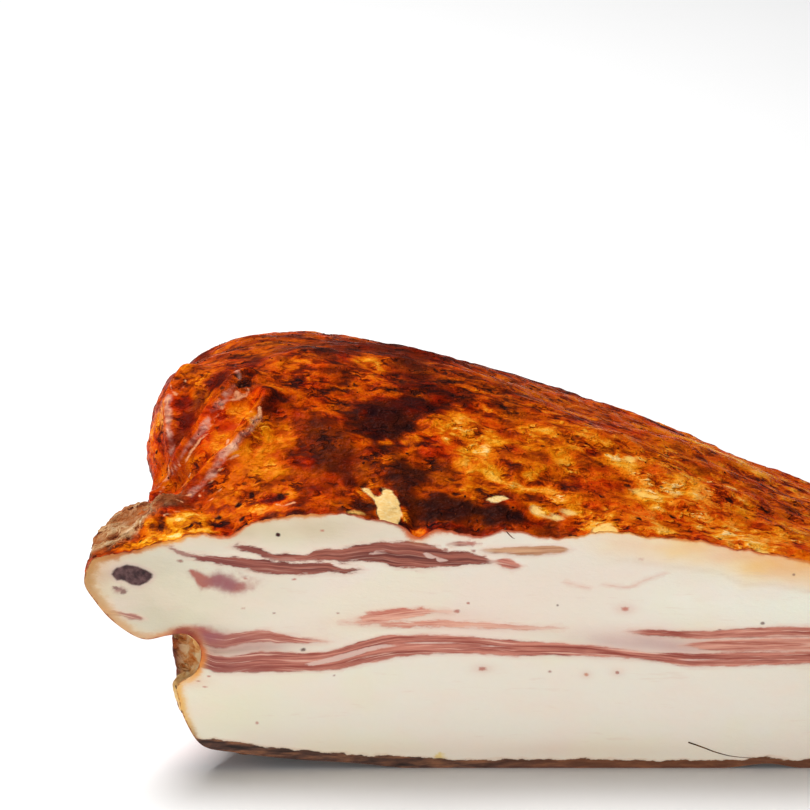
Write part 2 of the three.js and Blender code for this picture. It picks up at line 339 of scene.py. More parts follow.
def path_distance(p, path):
    """Distance from points to a path of places on the part."""
    return line_distance(p, [on_part(at) for at in path])


def laid_line(path, surface):
    """A path laid on the surface, sampled about every millimetre."""
    samples = []
    for a, b in zip(path[:-1], path[1:]):
        a, b = on_part(a), on_part(b)
        steps = max(2, int(np.linalg.norm(b - a)))
        samples += [a + (b - a) * k / steps for k in range(steps)]
    samples.append(on_part(path[-1]))
    flat = surface.reshape(-1, 3)
    line = np.array([flat[((flat - s) ** 2).sum(1).argmin()] for s in samples])
    for _ in range(2):
        line[1:-1] = (line[:-2] + 2 * line[1:-1] + line[2:]) / 4
    return line


def skin_lift(p):
    """The pleats and waves that the solid has too."""
    lift = np.zeros(p.shape[:-1])
    for path, height, width in PLEATS:
        lift += height * bump(path_distance(p, path) / width)
    for size, across, along_y, phase in WAVES:
        u = 2 * np.pi * across * (p[..., 0] + p[..., 2]) / 1000 + phase
        v = 2 * np.pi * along_y * (p[..., 1] + 0.3 * p[..., 2]) / 1000 + 2 * phase
        lift += size * np.sin(u) * np.sin(v)
    return lift


# Thin cords along the crests of the pleats: number of the pleat, lift, width
CRESTS = [
    (0, 0.6, 1.7), (1, 0.5, 1.7), (2, 0.4, 1.6),
]
# Further small wrinkles: path, lift, width and how wide a line of painted highlight runs along the
# crest
WRINKLES = [
    ([(-70, 46, 80), (-76, 38, 74), (-82, 38, 64)], 0.59, 1.6, 0),
    ([(-64, 26, 75), (-70, 21, 67), (-77, 19, 61)], 0.42, 1.6, 0.5),
    ([(-79, 12, 59), (-84, 11, 57), (-90, 9, 54)], 0.68, 1.6, 0.8),
    ([(-71, 12, 62), (-77, 9, 59), (-83, 6, 57)], 0.42, 1.6, 0.7),
    ([(-84, 22, 56), (-90, 18, 56), (-96, 13, 53)], 0.59, 1.6, 0.9),
    ([(-85, 27, 56), (-91, 24, 55), (-97, 19, 51)], 0.51, 1.6, 0.9),
    ([(-80, 26, 62), (-84, 25, 58), (-88, 24, 55)], 0.42, 1.6, 0.8),
    ([(-83, 34, 60), (-86, 32, 57), (-88, 29, 55)], 0.42, 1.6, 0.8),
    ([(-76, 56, 78), (-81, 50, 73), (-82, 43, 68)], 0.51, 1.6, 0.5),
    ([(-63, 34, 78), (-60, 40, 80), (-58, 48, 82)], 0.51, 1.7, 0),
    ([(-45, 30, 75), (-34, 24, 71), (-24, 15, 66)], -0.51, 1.9, 0),
    ([(-52, 26, 75), (-40, 19, 70), (-29, 9, 64)], 0.51, 2.2, 0),
    ([(-47, 22, 73), (-37, 16, 69), (-27, 7, 63)], 0.34, 1.6, 0),
    ([(-30, 20, 70), (-12, 17, 67), (4, 20, 64)], 0.42, 2.2, 0),
    ([(6, 12, 62), (20, 14, 60), (34, 18, 58)], 0.42, 1.9, 0),
    ([(24, 26, 61), (38, 28, 58), (52, 34, 53)], 0.42, 2.2, 0),
]
# Pits of the crust [x, y from the cut], radius, depth
PITS = [
    (-64.3, 8, 0.9, 0.5), (-57.5, 6.5, 1.1, 0.5), (-71.2, 6, 0.9, 0.4), (-67.2, 7, 0.8, 0.4),
    (-72, 3.5, 0.8, 0.4), (-66, 3, 0.7, 0.4), (-35, 8.5, 0.8, 0.4), (30, 12, 0.8, 0.4),
    (40, 5, 0.7, 0.5), (22, 7, 0.8, 0.4), (14, 14, 0.8, 0.3), (47, 19, 0.8, 0.4),
]
PIT_Z = (40, 48)
# Bare skin over the lobe: its start along x and how that leans, its start behind the cut,
# its middle and reach [y from the cut, z] and its edge as a share of the reach
KNOB_X = (-79, -84)
KNOB_LEAN = 0.15
KNOB_FRONT = 2
KNOB_FRONT_X = -97
KNOB_FRONT_SLOPE = 0.45
KNOB_FRONT_FADE = 2.5
KNOB_MIDDLE = (8, 48)
KNOB_REACH = (19, 13)
KNOB_EDGE = (0.8, 1.08)
KNOB_RAGGED = 0.4
KNOB_RAGGED_Y = (6, 12)
COS_45 = 0.7071
# Fine relief fades in behind the cut and above the base, and out at the middle of the back
FINE_FADE_Y = (0.2, 2.2)
FINE_FADE_Z = (0, 3)
BACK_FADE = (1, 0.91)
BACK_FADE_POWER = 0.89
# Noises: size, octaves, seed, stretch
EVEN = (1, 1, 1)
NOISES = {
    "knob": (7, 3, 71, EVEN),
    "grain": (5.5, 3, 3.1, EVEN),
    "fine grain": (1.9, 2, 9.4, (1.4, 1, 1)),
    "crags": (3.2, 3, 23.5, (3, 1.3, 1)),
    "knob folds": (2.3, 2, 17.7, (3.6, 1, 1)),
    "fat": (7, 3, 61, (2.2, 1, 1)),
    "flush": (5, 3, 77, (2.5, 1, 1)),
    "tone": (15, 2, 8.8, EVEN),
    "back tone": (7, 2, 14.2, (1.5, 1.5, 1)),
    "hue": (10, 2, 51, EVEN),
    "patch edge": (3.6, 2, 33, EVEN),
    "side": (16, 3, 91, EVEN),
    "rind": (14, 2, 5.5, EVEN),
    "wall": (4, 3, 81, (1, 1, 2)),
    "cut ripple": (7, 2, 2.2, (2.2, 1, 1)),
    "cut grain": (1.4, 2, 6.6, (3, 1, 1)),
    "crumbs": (9, 2, 41, EVEN),
}


def fractal(p, name):
    """Layered noise about -1 to 1 at points in millimetres."""
    size, octaves, seed, stretch = NOISES[name]
    flat = (p.reshape(-1, 3) / np.array(stretch) / size + seed).tolist()
    values = [noise.fractal(v, 1.0, 2.0, octaves) for v in flat]
    return np.array(values).reshape(p.shape[:-1])


def knob_share(p):
    """The bare, wrinkled skin over the lobe at the left."""
    d = behind_cut(p)
    front = KNOB_FRONT + KNOB_FRONT_SLOPE * np.maximum(0, p[..., 0] - KNOB_FRONT_X)
    away = oval(np.maximum(KNOB_MIDDLE[0], d), p[..., 2], *KNOB_MIDDLE, *KNOB_REACH)
    away += KNOB_RAGGED * smooth(*KNOB_RAGGED_Y, d) * fractal(p, "knob")
    return (smooth(*KNOB_X, p[..., 0] - KNOB_LEAN * d)
            * smooth(front, front + KNOB_FRONT_FADE, d) * (1 - smooth(*KNOB_EDGE, away)))


def diagonal(p):
    """Coordinates turned so that the first runs along the lobe's wrinkles."""
    x, y, z = p[..., 0], p[..., 1], p[..., 2]
    return np.stack([(x + y) * COS_45, (y - x) * COS_45, z], -1)


def fine_lift(p):
    """Relief too fine for the solid: crags, cords, wrinkles and pits."""
    knob = knob_share(p)
    lift = 0.34 * fractal(p, "grain") * (1 - knob)
    lift += 0.16 * fractal(p, "fine grain")
    crags = np.abs(fractal(p, "crags"))
    lift += 0.42 * (1 - knob) * (0.3 - crags)
    folds = np.abs(fractal(diagonal(p), "knob folds"))
    lift += knob * (0.6 - 1.8 * folds)
    cords = [(PLEATS[number][0], height, width) for number, height, width in CRESTS]
    for path, height, width in cords + [row[:3] for row in WRINKLES]:
        lift += height * bump(line_distance(p, laid_line(path, p)) / width)
    top = smooth(*PIT_Z, p[..., 2])
    for x, d, radius, depth in PITS:
        lift -= top * depth * bump(np.hypot(p[..., 0] - x, behind_cut(p) - d) / radius)
    return lift


def skin_rings():
    """Rings of the skin, the same without their relief, and the middle of the back."""
    x0, z0, turn = spaced_outline()
    v = (np.arange(ROWS) / ROWS) ** ROW_BIAS
    d = (DEPTH * np.sin(v * np.pi / 2) ** ROW_POWER)[:, None]
    shape = 1 - bump(d / fade_length(x0, z0))
    height = along(CROWN, x0, 1)
    lifted = z0 + (crown(x0 + 0 * d, d) - height) * np.clip(z0 / height, 0, 1)
    bx, bz = body_point(turn + 0 * d, d + 0 * turn)
    p = np.stack([mix(x0, bx, shape), d - DEPTH / 2 + 0 * x0,
                  np.maximum(0, mix(lifted, bz, shape))], -1)
    move = np.zeros_like(p)
    for at, radius, push in LUMPS:
        away = np.linalg.norm(p - on_part(at), axis=-1)
        move += np.array(push, float) * bump(away / radius)[..., None]
    p += move * relief_share(p)[..., None]
    apex = p[-1].mean(0)
    apex[1] = DEPTH / 2
    base = p.copy()
    across = np.roll(p, -NORMAL_REACH, axis=1) - np.roll(p, NORMAL_REACH, axis=1)
    rows = np.arange(ROWS)
    padded = np.concatenate([p, np.repeat(apex[None, None], RING_POINTS, 1)])
    far = np.minimum(rows + NORMAL_REACH, ROWS)
    normal = np.cross(padded[far] - padded[np.maximum(0, rows - NORMAL_REACH)], across)
    normal /= np.linalg.norm(normal, axis=-1, keepdims=True)
    fade = smooth(*BACK_FADE, v ** BACK_FADE_POWER)[:, None]
    fine = fine_lift(p) * smooth(*FINE_FADE_Y, behind_cut(p)) * smooth(*FINE_FADE_Z, p[..., 2])
    p += normal * ((skin_lift(p) * relief_share(p) + fine) * fade)[..., None]
    p[..., 2] = np.maximum(0, p[..., 2])
    p[..., 1] = np.clip(p[..., 1], -DEPTH / 2, DEPTH / 2)
    return p, base, apex


# Streaks of lean and fat: group, tone, stations [x, top, bottom]. Tone 0 is brown-rose,
# 0.33 rose, 0.66 salmon and 1 tan.
STREAKS = [
    (0, 0.02, [(-68.7, 53.5, 53.3), (-66.9, 54.2, 52.9), (-64, 53.6, 52.2), (-61, 52.7, 50.9),
     (-58.1, 51.7, 49.9), (-54.8, 51.6, 49.7), (-51.5, 51.7, 50), (-49.7, 52.7, 50.1),
     (-47.1, 53, 50.2), (-44, 53, 49.7), (-40.9, 54, 49.7), (-37.9, 54.3, 50.1),
     (-34.8, 54.8, 49.8), (-31.7, 54.7, 48.5), (-29.1, 55, 48.3), (-25.5, 54.3, 47.9),
     (-22.9, 53.5, 48.5), (-20.3, 52.5, 48.7), (-15.9, 52.3, 49.1), (-12.3, 50.9, 49.5),
     (-10.1, 50, 49.7)]),
    (1, 0.05, [(-84, 54, 53.8), (-81.2, 53.4, 52.5), (-78.1, 51.8, 50.9), (-74.4, 51.6, 50.1),
     (-70.7, 51.2, 49.3), (-66.5, 50.9, 48.3), (-62.8, 50.4, 47.6), (-60.6, 50.5, 47.3),
     (-57.9, 49.9, 47), (-53.3, 49.7, 46.8), (-50.2, 49.8, 46.9), (-47.1, 49.6, 47.3),
     (-45.2, 48.8, 47.2), (-42.5, 48.3, 47), (-41, 48.5, 47.2), (-39.2, 48.3, 47.7)]),
    (2, 0.95, [(-12.6, 52.9, 52.3), (-9.3, 53.3, 51.9), (-4.9, 53.5, 51.4), (0.6, 53.7, 51.5),
     (3.9, 53.7, 51.8), (6.2, 53.2, 52.4)]),
    (1, 0.34, [(-9.6, 50.2, 49.4), (-8.2, 50.7, 48.6), (-6.4, 50.4, 48), (-4.8, 49.4, 48.2)]),
    (1, 0.1, [(-20.2, 54.2, 54), (-18.2, 54.9, 53.8), (-15.6, 54.8, 54), (-13.6, 54.4, 54.1)]),
    (2, 0.62, [(-39.2, 37.2, 35.6), (-37.2, 38, 35.4), (-34, 38.4, 35.6), (-30, 38.7, 36.4),
     (-26, 38.8, 37.2), (-22.6, 38.5, 37.9), (-19, 38.1, 37.9)]),
    (0, 0.62, [(-44.6, 35.6, 35.4), (-40.1, 35.9, 34.9), (-34.8, 35.9, 34.5), (-28.6, 35.6, 34.3),
     (-20.2, 35.8, 34.2), (-15.3, 35.5, 34.3), (-6, 34.8, 33.8), (0.8, 34.4, 33.8),
     (5.5, 34.1, 33.8)]),
    (1, 0.42, [(-81, 33.8, 32.6), (-78, 34.4, 31.8), (-75.5, 33.8, 30.2), (-73, 32.8, 29.4),
     (-70, 32.4, 29), (-67.5, 32.7, 29.8), (-65, 33.1, 30.3), (-62, 33.5, 30.6),
     (-59.8, 33.4, 30.5), (-58.5, 32.7, 30.4), (-55, 32.1, 30.5), (-51.5, 31.4, 30.2),
     (-47, 31, 30.5)]),
    (2, 0.33, [(-78.1, 28.6, 26), (-75.4, 28.6, 24.7), (-72.4, 27.4, 23.4), (-69, 27.1, 23.1),
     (-65.2, 27.8, 23.3), (-61.9, 28.5, 23.4), (-58.1, 28.4, 23.4), (-53.5, 28, 23.6),
     (-50.4, 28, 23.6), (-47.3, 28.4, 23.8), (-44.1, 29.2, 24.1), (-41, 30.4, 24.8),
     (-37.9, 31.4, 25.5), (-34.8, 32.2, 26.2), (-31.7, 32.4, 27), (-25.5, 32.5, 27.6),
     (-20.2, 32.4, 27.8), (-13.5, 31.8, 27.8), (-6, 31, 27.1), (3.3, 30.5, 27.4),
     (11.1, 29.9, 27.2), (15.8, 29.3, 27), (24.2, 28.2, 26.3), (34.6, 27.8, 24.5),
     (44.2, 28.1, 24.8), (59.7, 28.3, 25.4), (76, 28.4, 25.9), (90, 27.9, 26.2),
     (97, 27.2, 26.6)]),
    (0, 0.36, [(19.2, 33.3, 33.1), (23, 33.6, 32.4), (27, 33.6, 31.9), (32.7, 33.3, 31.6),
     (38.7, 33.3, 31.3), (42.9, 33.9, 31.4), (54.2, 34.4, 31.7), (59.5, 34.3, 31.7),
     (74, 34.2, 32.1), (88, 33.3, 32.4), (94, 32.6, 32.3)]),
    (1, 0.48, [(31, 29.8, 29.7), (35, 30.7, 29.2), (38.6, 31, 28.6), (48.5, 31.4, 28.3),
     (59.6, 31.6, 28.4), (75, 31.6, 28.8), (90, 30.6, 29.4), (96, 30, 29.8)]),
    (2, 0.72, [(5.5, 45.1, 45), (9.1, 44.1, 43.9), (11, 43.7, 43.6)]),
    (2, 0.72, [(14.2, 44.5, 44.4), (17, 44.1, 43.9), (19.9, 43.9, 43.7), (23, 45.6, 45.2),
     (25.6, 46.6, 46.4), (27.8, 47.3, 47.2)]),
    (2, 0.55, [(-97.4, 38.5, 37.6), (-93.2, 38, 37), (-88.6, 36.8, 35.7)]),
]
# Pale lines of fat inside the lean, as stations of the same kind
PALE_LINES = [
    [(-53.5, 25, 24.8), (-50.4, 25.9, 24.9), (-45.7, 27.2, 25.9), (-41, 28.6, 27.3),
     (-37.9, 29.5, 28.4), (-34.8, 30, 29.2), (-30.2, 30.4, 29.9), (-25.5, 30.6, 30.2),
     (-20.2, 30.5, 30.2), (-9.1, 29.6, 29.4), (4.2, 29, 28.9)],
    [(-38.3, 51.6, 51.5), (-36.5, 52.6, 51.7), (-34.2, 52.5, 51.9), (-33, 52.2, 52)],
    [(-26.2, 51.7, 51.6), (-25.2, 52.2, 51), (-23.8, 51.6, 50.6), (-22.9, 51, 50.8)],
    [(-23.6, 50.9, 50.8), (-22.6, 51, 49.9), (-21.6, 50.7, 49.9), (-20.4, 50.3, 50.1)],
    [(24, 27, 26.95), (33, 26.5, 26.2), (45, 26.7, 26.5), (58, 27, 26.8)],
]
# Top of the rind along the base
RIND_LINE = [
    (-110, 9), (-78, 7.5), (-75.4, 6.8), (-72.7, 7.5), (-68.2, 6.5), (-61.5, 5.2), (-55.9, 4.5),
    (-47, 3.8), (-38.5, 3.2), (-31.3, 2.9), (-26, 2.7), (-20.1, 2.1), (-13.4, 1.9), (4.6, 2.1),
    (22.5, 1.9), (35.9, 1.9), (44.9, 2), (51.8, 2.4), (57.4, 2), (60.6, 1.9), (80, 3), (90, 5.8),
    (97, 12), (110, 16),
]
# Gland in the lobe
GLAND = [
    (-95, 47.2), (-93.8, 48.4), (-91.4, 49.2), (-88.7, 48.7), (-86.3, 47.5), (-85.5, 46.6),
    (-86.6, 45.3), (-88.7, 44.1), (-90.2, 44.3), (-92.3, 45.6), (-93.8, 45.5),
]
# Stains by the gland and the notch: centre, radius x, z, how purple, how red
STAINS = [
    (-77, 47.5, 0.9, 0.6, 0, 1), (-76.2, 46.8, 1, 1, 0, 1.2), (-75.3, 45.9, 1.1, 1.4, 0.05, 1.3),
    (-74.4, 45.1, 1.4, 1.6, 0.2, 1.3), (-72.9, 45.2, 1.9, 1.5, 0.6, 1),
    (-70.9, 45.3, 2.2, 1.9, 1.4, 0.8), (-69.2, 44.6, 2.4, 2, 1.3, 0.8),
    (-67.2, 43.9, 2.6, 1.6, 0.6, 0.9), (-65.2, 43.9, 2.8, 1.2, 0.1, 0.6),
    (-65.8, 46.5, 1.8, 0.4, 0.5, 0.5), (-93, 43.2, 1.8, 1.1, 0.7, 0.4),
    (-69, 45.6, 7, 3.2, 0.12, 0.3), (-63.5, 45.4, 3.4, 1.8, 0.05, 0.3),
    (-76.5, 32.8, 4, 1.7, 0.4, 1.1), (-73.2, 31.8, 4.6, 1.8, 0.8, 0.5),
    (-77.6, 29.6, 2.4, 3, 0.2, 0.8), (-67, 31.4, 7, 1.3, 0.35, 0.2), (-77.4, 26, 2.2, 3, 0.1, 0.5),
]
# Soft patches of the fat: centre, radius x, z, colour, strength
FAT_TINTS = [
    (-60, 58, 30, 5, (204, 185, 150), 0.9), (-88, 44, 16, 11, (196, 186, 158), 0.9),
    (-62, 43, 12, 6, (214, 204, 178), 0.6), (-70, 38, 14, 7, (224, 217, 196), 0.8),
    (-35, 42, 24, 8, (229, 215, 200), 0.8), (2, 43, 24, 8, (231, 216, 200), 0.8),
    (38, 41, 16, 6, (236, 231, 217), 0.9), (60, 40, 16, 6, (234, 232, 215), 0.9),
    (-67, 29.6, 13, 2.8, (160, 112, 102), 0.9), (-74, 29.4, 4.5, 3.2, (144, 82, 66), 1),
    (-97.8, 46, 4.5, 6, (196, 160, 126), 0.8), (-78, 33.2, 5, 1.4, (162, 84, 70), 0.9),
    (-73.5, 31.2, 4.5, 1.5, (150, 98, 98), 0.75), (-65, 31.4, 9, 1.7, (204, 164, 156), 0.7),
    (-78, 29.5, 3.5, 3.2, (166, 96, 84), 0.8), (62, 31.7, 30, 1.8, (202, 142, 128), 0.9),
    (62, 28.2, 30, 1.7, (202, 142, 128), 0.9), (84, 30.2, 20, 3.2, (204, 150, 138), 0.85),
    (-92, 39, 6, 3, (222, 204, 190), 0.6), (-77, 21, 4, 1.6, (226, 176, 150), 0.7),
    (-50, 31.5, 8, 2.6, (222, 198, 184), 0.6), (20, 31, 15, 2.6, (196, 164, 156), 0.9),
    (34, 30, 9, 2.2, (190, 148, 142), 0.85), (18.9, 38.6, 2.4, 1.2, (220, 184, 168), 0.7),
    (-12.6, 24.2, 2.4, 1.1, (216, 176, 158), 0.7), (10.5, 22.8, 1.4, 1, (216, 180, 162), 0.6),
    (17.4, 23.3, 1.6, 1, (216, 180, 162), 0.6), (10, 4.5, 24, 2.4, (220, 190, 168), 0.6),
    (-81, 37, 13, 8, (200, 190, 164), 0.8), (-5, 33, 20, 2, (226, 205, 190), 0.5),
    (-39, 35.4, 9, 1.5, (222, 184, 166), 0.7), (-27, 37, 13, 2.2, (224, 186, 168), 0.7),
    (-20, 35, 18, 2.4, (226, 196, 180), 0.5), (-70, 14, 16, 9, (228, 221, 192), 0.8),
    (-20, 14, 34, 9, (231, 223, 208), 0.7), (40, 14, 34, 9, (232, 224, 211), 0.7),
    (85, 20, 16, 12, (228, 212, 186), 0.7), (-40, 4.5, 20, 2, (226, 206, 180), 0.6),
]
FAT_TINT = (229, 221, 205)
# Translucent yellow zone under the crust at the right: x, lower edge
YELLOW_ZONE = [
    (2, 55), (12.8, 50), (20, 50.2), (32.2, 48.5), (39.7, 47.4), (45.3, 44.6), (50.4, 44.8),
    (59.2, 43.1), (75, 40), (95, 33),
]
# The zone's pale and deep parts: from and to, above its lower edge and along x
YELLOW_WIDE = (-2, 4)
YELLOW_WIDE_X = (0, 30)
YELLOW_CLOSE = (1, 7)
YELLOW_CLOSE_X = (20, 46)
# Rim of the cut by place round the outline: x, z, width, colour. Colours and widths pass
# evenly from one station to the next.
RIM = [
    (-75, 6, 0.5, (120, 70, 40)), (-79.5, 12, 1.1, (226, 184, 112)),
    (-80.5, 18, 1.3, (230, 176, 88)), (-78.5, 21.5, 1, (230, 180, 120)),
    (-76.4, 24, 1.1, (224, 156, 70)), (-75.7, 27, 1, (212, 118, 50)),
    (-76.2, 30.5, 1, (176, 84, 48)), (-78, 32.5, 1.4, (138, 50, 36)),
    (-80.5, 32.5, 1.3, (150, 58, 38)), (-83.5, 32.1, 0.8, (206, 138, 90)),
    (-88, 31.4, 1.3, (206, 166, 126)), (-96, 37.5, 1.7, (206, 160, 110)),
    (-100.9, 45.2, 2.3, (186, 140, 86)), (-98.6, 50.8, 1.9, (186, 130, 68)),
    (-90.8, 52.3, 0.9, (176, 92, 30)), (-80, 55.3, 0.8, (226, 150, 40)),
    (-70, 56.5, 0.7, (204, 92, 22)), (-62, 59.5, 0.5, (200, 104, 24)),
    (-50, 61.3, 0.8, (206, 128, 50)), (-45, 61.5, 0.4, (190, 84, 22)),
    (-32, 59, 0.5, (150, 60, 24)), (-27, 56.4, 1.1, (200, 88, 20)),
    (-12, 56.5, 0.5, (170, 62, 16)), (4, 55.8, 0.5, (190, 96, 20)),
    (14, 57.2, 0.5, (226, 160, 56)), (40, 53.8, 0.5, (196, 92, 20)),
    (59, 50.3, 0.6, (206, 112, 22)), (84, 44, 1, (196, 100, 30)), (99, 32, 1.6, (200, 120, 60)),
    (101, 22, 1.8, (206, 150, 96)), (97, 10, 1.2, (150, 92, 56)), (85, 2, 0.4, (100, 60, 40)),
    (0, 0, 0.1, (100, 60, 40)), (-60, 3, 0.2, (100, 60, 40)),
]
# Small spots: centre, radius x, z, tone and strength. Tone 0 is dark red, 0.33 grey,
# 0.66 pink and 1 yellow.
SPOTS = [
    (-57.9, 56.3, 0.8, 0.7, 0, 1.3), (-48.2, 57.3, 0.94, 0.51, 0.66, 0.7),
    (-16, 40, 0.81, 0.43, 0.6, 0.8), (-18.4, 38.1, 1.08, 0.72, 0.6, 0.8),
    (3.9, 39.5, 0.54, 0.51, 0.33, 0.9), (18.9, 38.6, 1.62, 0.8, 0.66, 0.9),
    (-12.6, 24.2, 1.76, 0.72, 0.6, 0.8), (2.3, 23.5, 0.81, 0.58, 0.5, 0.5),
    (10.5, 22.8, 0.81, 0.65, 0.7, 0.7), (17.4, 23.3, 0.94, 0.58, 0.55, 0.8),
    (-52.6, 28.8, 1.08, 0.72, 0.2, 0.7), (-58.9, 37.6, 0.81, 0.43, 0.45, 0.6),
    (-45.7, 22.6, 0.68, 0.51, 0.45, 0.7), (-44.8, 37.6, 0.94, 0.43, 0.5, 0.6),
    (-54.4, 45.7, 1.22, 0.43, 0.66, 0.6), (-63, 11, 0.81, 0.65, 0.6, 0.7),
    (49.5, 35.2, 0.81, 0.58, 0.3, 0.9), (-65.2, 45.9, 1.22, 0.43, 0.6, 0.6),
    (-15.4, 54.2, 2.7, 0.65, 0.62, 0.8), (-14.8, 52.5, 1.08, 0.58, 0.5, 0.8),
    (-22.1, 2.6, 2.16, 1.59, 1, 0.8), (-79.6, 50.1, 1.08, 0.72, 0.45, 0.8),
    (22, 50.6, 1.89, 0.87, 0.66, 0.35), (-66, 38.8, 1.35, 0.51, 0.6, 0.35),
    (-76, 21.2, 1.22, 0.43, 0.6, 0.6), (-73.6, 22.4, 0.94, 0.43, 0.66, 0.5),
    (-74.5, 19.8, 1.35, 0.43, 0.66, 0.4), (40, 33.6, 0.94, 0.36, 0.4, 0.5),
    (56, 46.8, 0.61, 0.51, 0.4, 0.6), (-21, 52.8, 1.08, 0.58, 0.5, 0.7),
    (-93.8, 43.7, 1.6, 0.65, 0.4, 1), (-92.3, 42.8, 1.3, 1, 0.36, 1),
]
# Distances to lines and edges are stored up to this far, and a streak's half thickness
# is this low where there is none
FAR = 3
NO_STREAK = -10
STREAK_REACH = 1.3
STREAK_TAPER = 0.6
STREAK_GROUPS = 3


def srgb(rgb):
    """A colour read from a screen, as linear light."""
    c = np.array(rgb) / 255
    return np.where(c <= 0.04045, c / 12.92, ((c + 0.055) / 1.055) ** 2.4)


def polygon_distance(x, z, corners):
    """Distance inside a polygon, negative outside, and nearest side."""
    corners = np.array(corners, float)
    p = np.stack([x, z], -1)
    best = np.full(len(p), np.inf)
    which = np.zeros(len(p), int)
    inside = np.zeros(len(p), bool)
    for i, (a, b) in enumerate(zip(corners, np.roll(corners, -1, axis=0))):
        t = np.clip((p - a) @ (b - a) / max((b - a) @ (b - a), MIN_LENGTH), 0, 1)
        away = np.linalg.norm(p - (a + t[:, None] * (b - a)), axis=1)
        which[away < best] = i
        best = np.minimum(best, away)
        if a[1] != b[1]:
            crosses = (a[1] > z) != (b[1] > z)
            inside ^= crosses & (x < (b[0] - a[0]) * (z - a[1]) / (b[1] - a[1]) + a[0])
    return np.where(inside, best, -best), which


def streak_offsets(x, z, stations):
    """Offset from a streak's middle line, and half its thickness."""
    s = np.array(stations)
    top, low = (np.interp(x, s[:, 0], s[:, k]) for k in (1, 2))
    beyond = np.maximum(0, np.maximum(s[0, 0] - x, x - s[-1, 0]))
    return z - (top + low) / 2, (top - low) / 2 - STREAK_TAPER * beyond


def streak_fields(x, z):
    """One field for each group of streaks: offset, half thickness, tone."""
    fields = np.zeros((STREAK_GROUPS, len(x), 3))
    fields[:, :, 0] = FAR
    fields[:, :, 1] = NO_STREAK
    best = np.full((STREAK_GROUPS, len(x)), -FAR, float)
    for group, tone, stations in STREAKS:
        v, h = streak_offsets(x, z, stations)
        inside = h - np.abs(v)
        near = inside > best[group]
        best[group] = np.where(near, inside, best[group])
        fields[group][near] = np.stack([v, h, np.full(len(x), tone)], -1)[near]
    fields[:, :, 1] = np.where(best < -STREAK_REACH, NO_STREAK, fields[:, :, 1])
    pale = np.full(len(x), -FAR, float)
    for stations in PALE_LINES:
        v, h = streak_offsets(x, z, stations)
        pale = np.maximum(pale, h - np.abs(v))
    return fields, pale


def fat_colours(x, z):
    """Colour of the fat on the cut face, with the yellow zone at the right."""
    zone = np.array(YELLOW_ZONE)
    over = z - np.interp(x, zone[:, 0], zone[:, 1])
    at = np.stack([x, 0 * x, z], -1)
    cloud = fractal(at, "fat")
    wide = smooth(*YELLOW_WIDE, over + 2 * cloud) * smooth(*YELLOW_WIDE_X, x)
    close = smooth(*YELLOW_CLOSE, over + 3.5 * cloud) * smooth(*YELLOW_CLOSE_X, x)
    flush = smooth(0.2, 0.9, 0.45 + fractal(at, "flush")) * wide
    edge = bump((over + 0.2) / 0.5) * smooth(10, 20, x)
    layers = [(rgb, strength * bump(oval(x, z, *place))) for *place, rgb, strength in FAT_TINTS]
    layers += [((240, 210, 158), 0.85 * wide), ((236, 180, 98), 0.85 * close),
               ((228, 170, 136), 0.3 * flush), ((205, 180, 150), 0.25 * edge)]
    tint = srgb(FAT_TINT)
    for rgb, share in layers:
        tint = mix(tint, srgb(rgb), share[:, None])
    return tint


def rim_table(ring):
    """Width and colour of the rim at each point of the outline."""
    n = len(ring)
    nearest = [(int(np.hypot(ring[:, 0] - x, ring[:, 2] - z).argmin()), width, srgb(rgb))
               for x, z, width, rgb in RIM]
    nearest.sort(key=lambda s: s[0])
    at = np.array([s[0] for s in nearest], float)
    values = np.array([np.append(s[1], s[2]) for s in nearest])
    at = np.concatenate([[at[-1] - n], at, [at[0] + n]])
    values = np.concatenate([values[-1:], values, values[:1]])
    return np.stack([np.interp(np.arange(n), at, values[:, k]) for k in range(4)], -1)


def face_points(ring):
    """Inner points of the cut face: an even grid, and rings round spots."""
    low, high = ring.min(0), ring.max(0)
    rows = np.arange(low[2], high[2], FACE_GRID * FACE_ROW)
    columns = np.arange(low[0], high[0], FACE_GRID)
    xx, zz = np.meshgrid(columns, rows)
    xx = xx + (np.arange(len(rows)) % 2)[:, None] * FACE_GRID / 2
    grid = np.stack([xx.ravel(), zz.ravel()], -1)
    extra = []
    for x, z, rx, rz, _tone, _strength in SPOTS:
        grid = grid[oval(*grid.T, x, z, rx + SPOT_MARGIN, rz + SPOT_MARGIN) > 1]
        extra.append((x, z))
        for k in range(SPOT_SIDES):
            a = 2 * math.pi * k / SPOT_SIDES
            extra.append((x + rx * math.cos(a), z + rz * math.sin(a)))
    grid = np.concatenate([grid, np.array(extra)])
    inside, _side = polygon_distance(*grid.T, ring[:, [0, 2]])
    return grid[inside > FACE_MARGIN * FACE_GRID]


def face_mesh(ring):
    """Inner points of the cut face, numbered after the skin, and its triangles."""
    n = len(ring)
    flat = [Vector(p) for p in ring[:, [0, 2]]] + [Vector(p) for p in face_points(ring)]
    points, _edges, triangles, origin, *_rest = delaunay_2d_cdt(
        flat, [], [list(range(n))], CDT_INSIDE, CDT_MERGE)
    inner = [j for j, source in enumerate(origin) if source[0] >= n]
    index = {j: source[0] for j, source in enumerate(origin)}
    index.update((j, SKIN_POINTS + k) for k, j in enumerate(inner))
    return np.array([tuple(points[j]) for j in inner]), [[index[j] for j in t] for t in triangles]


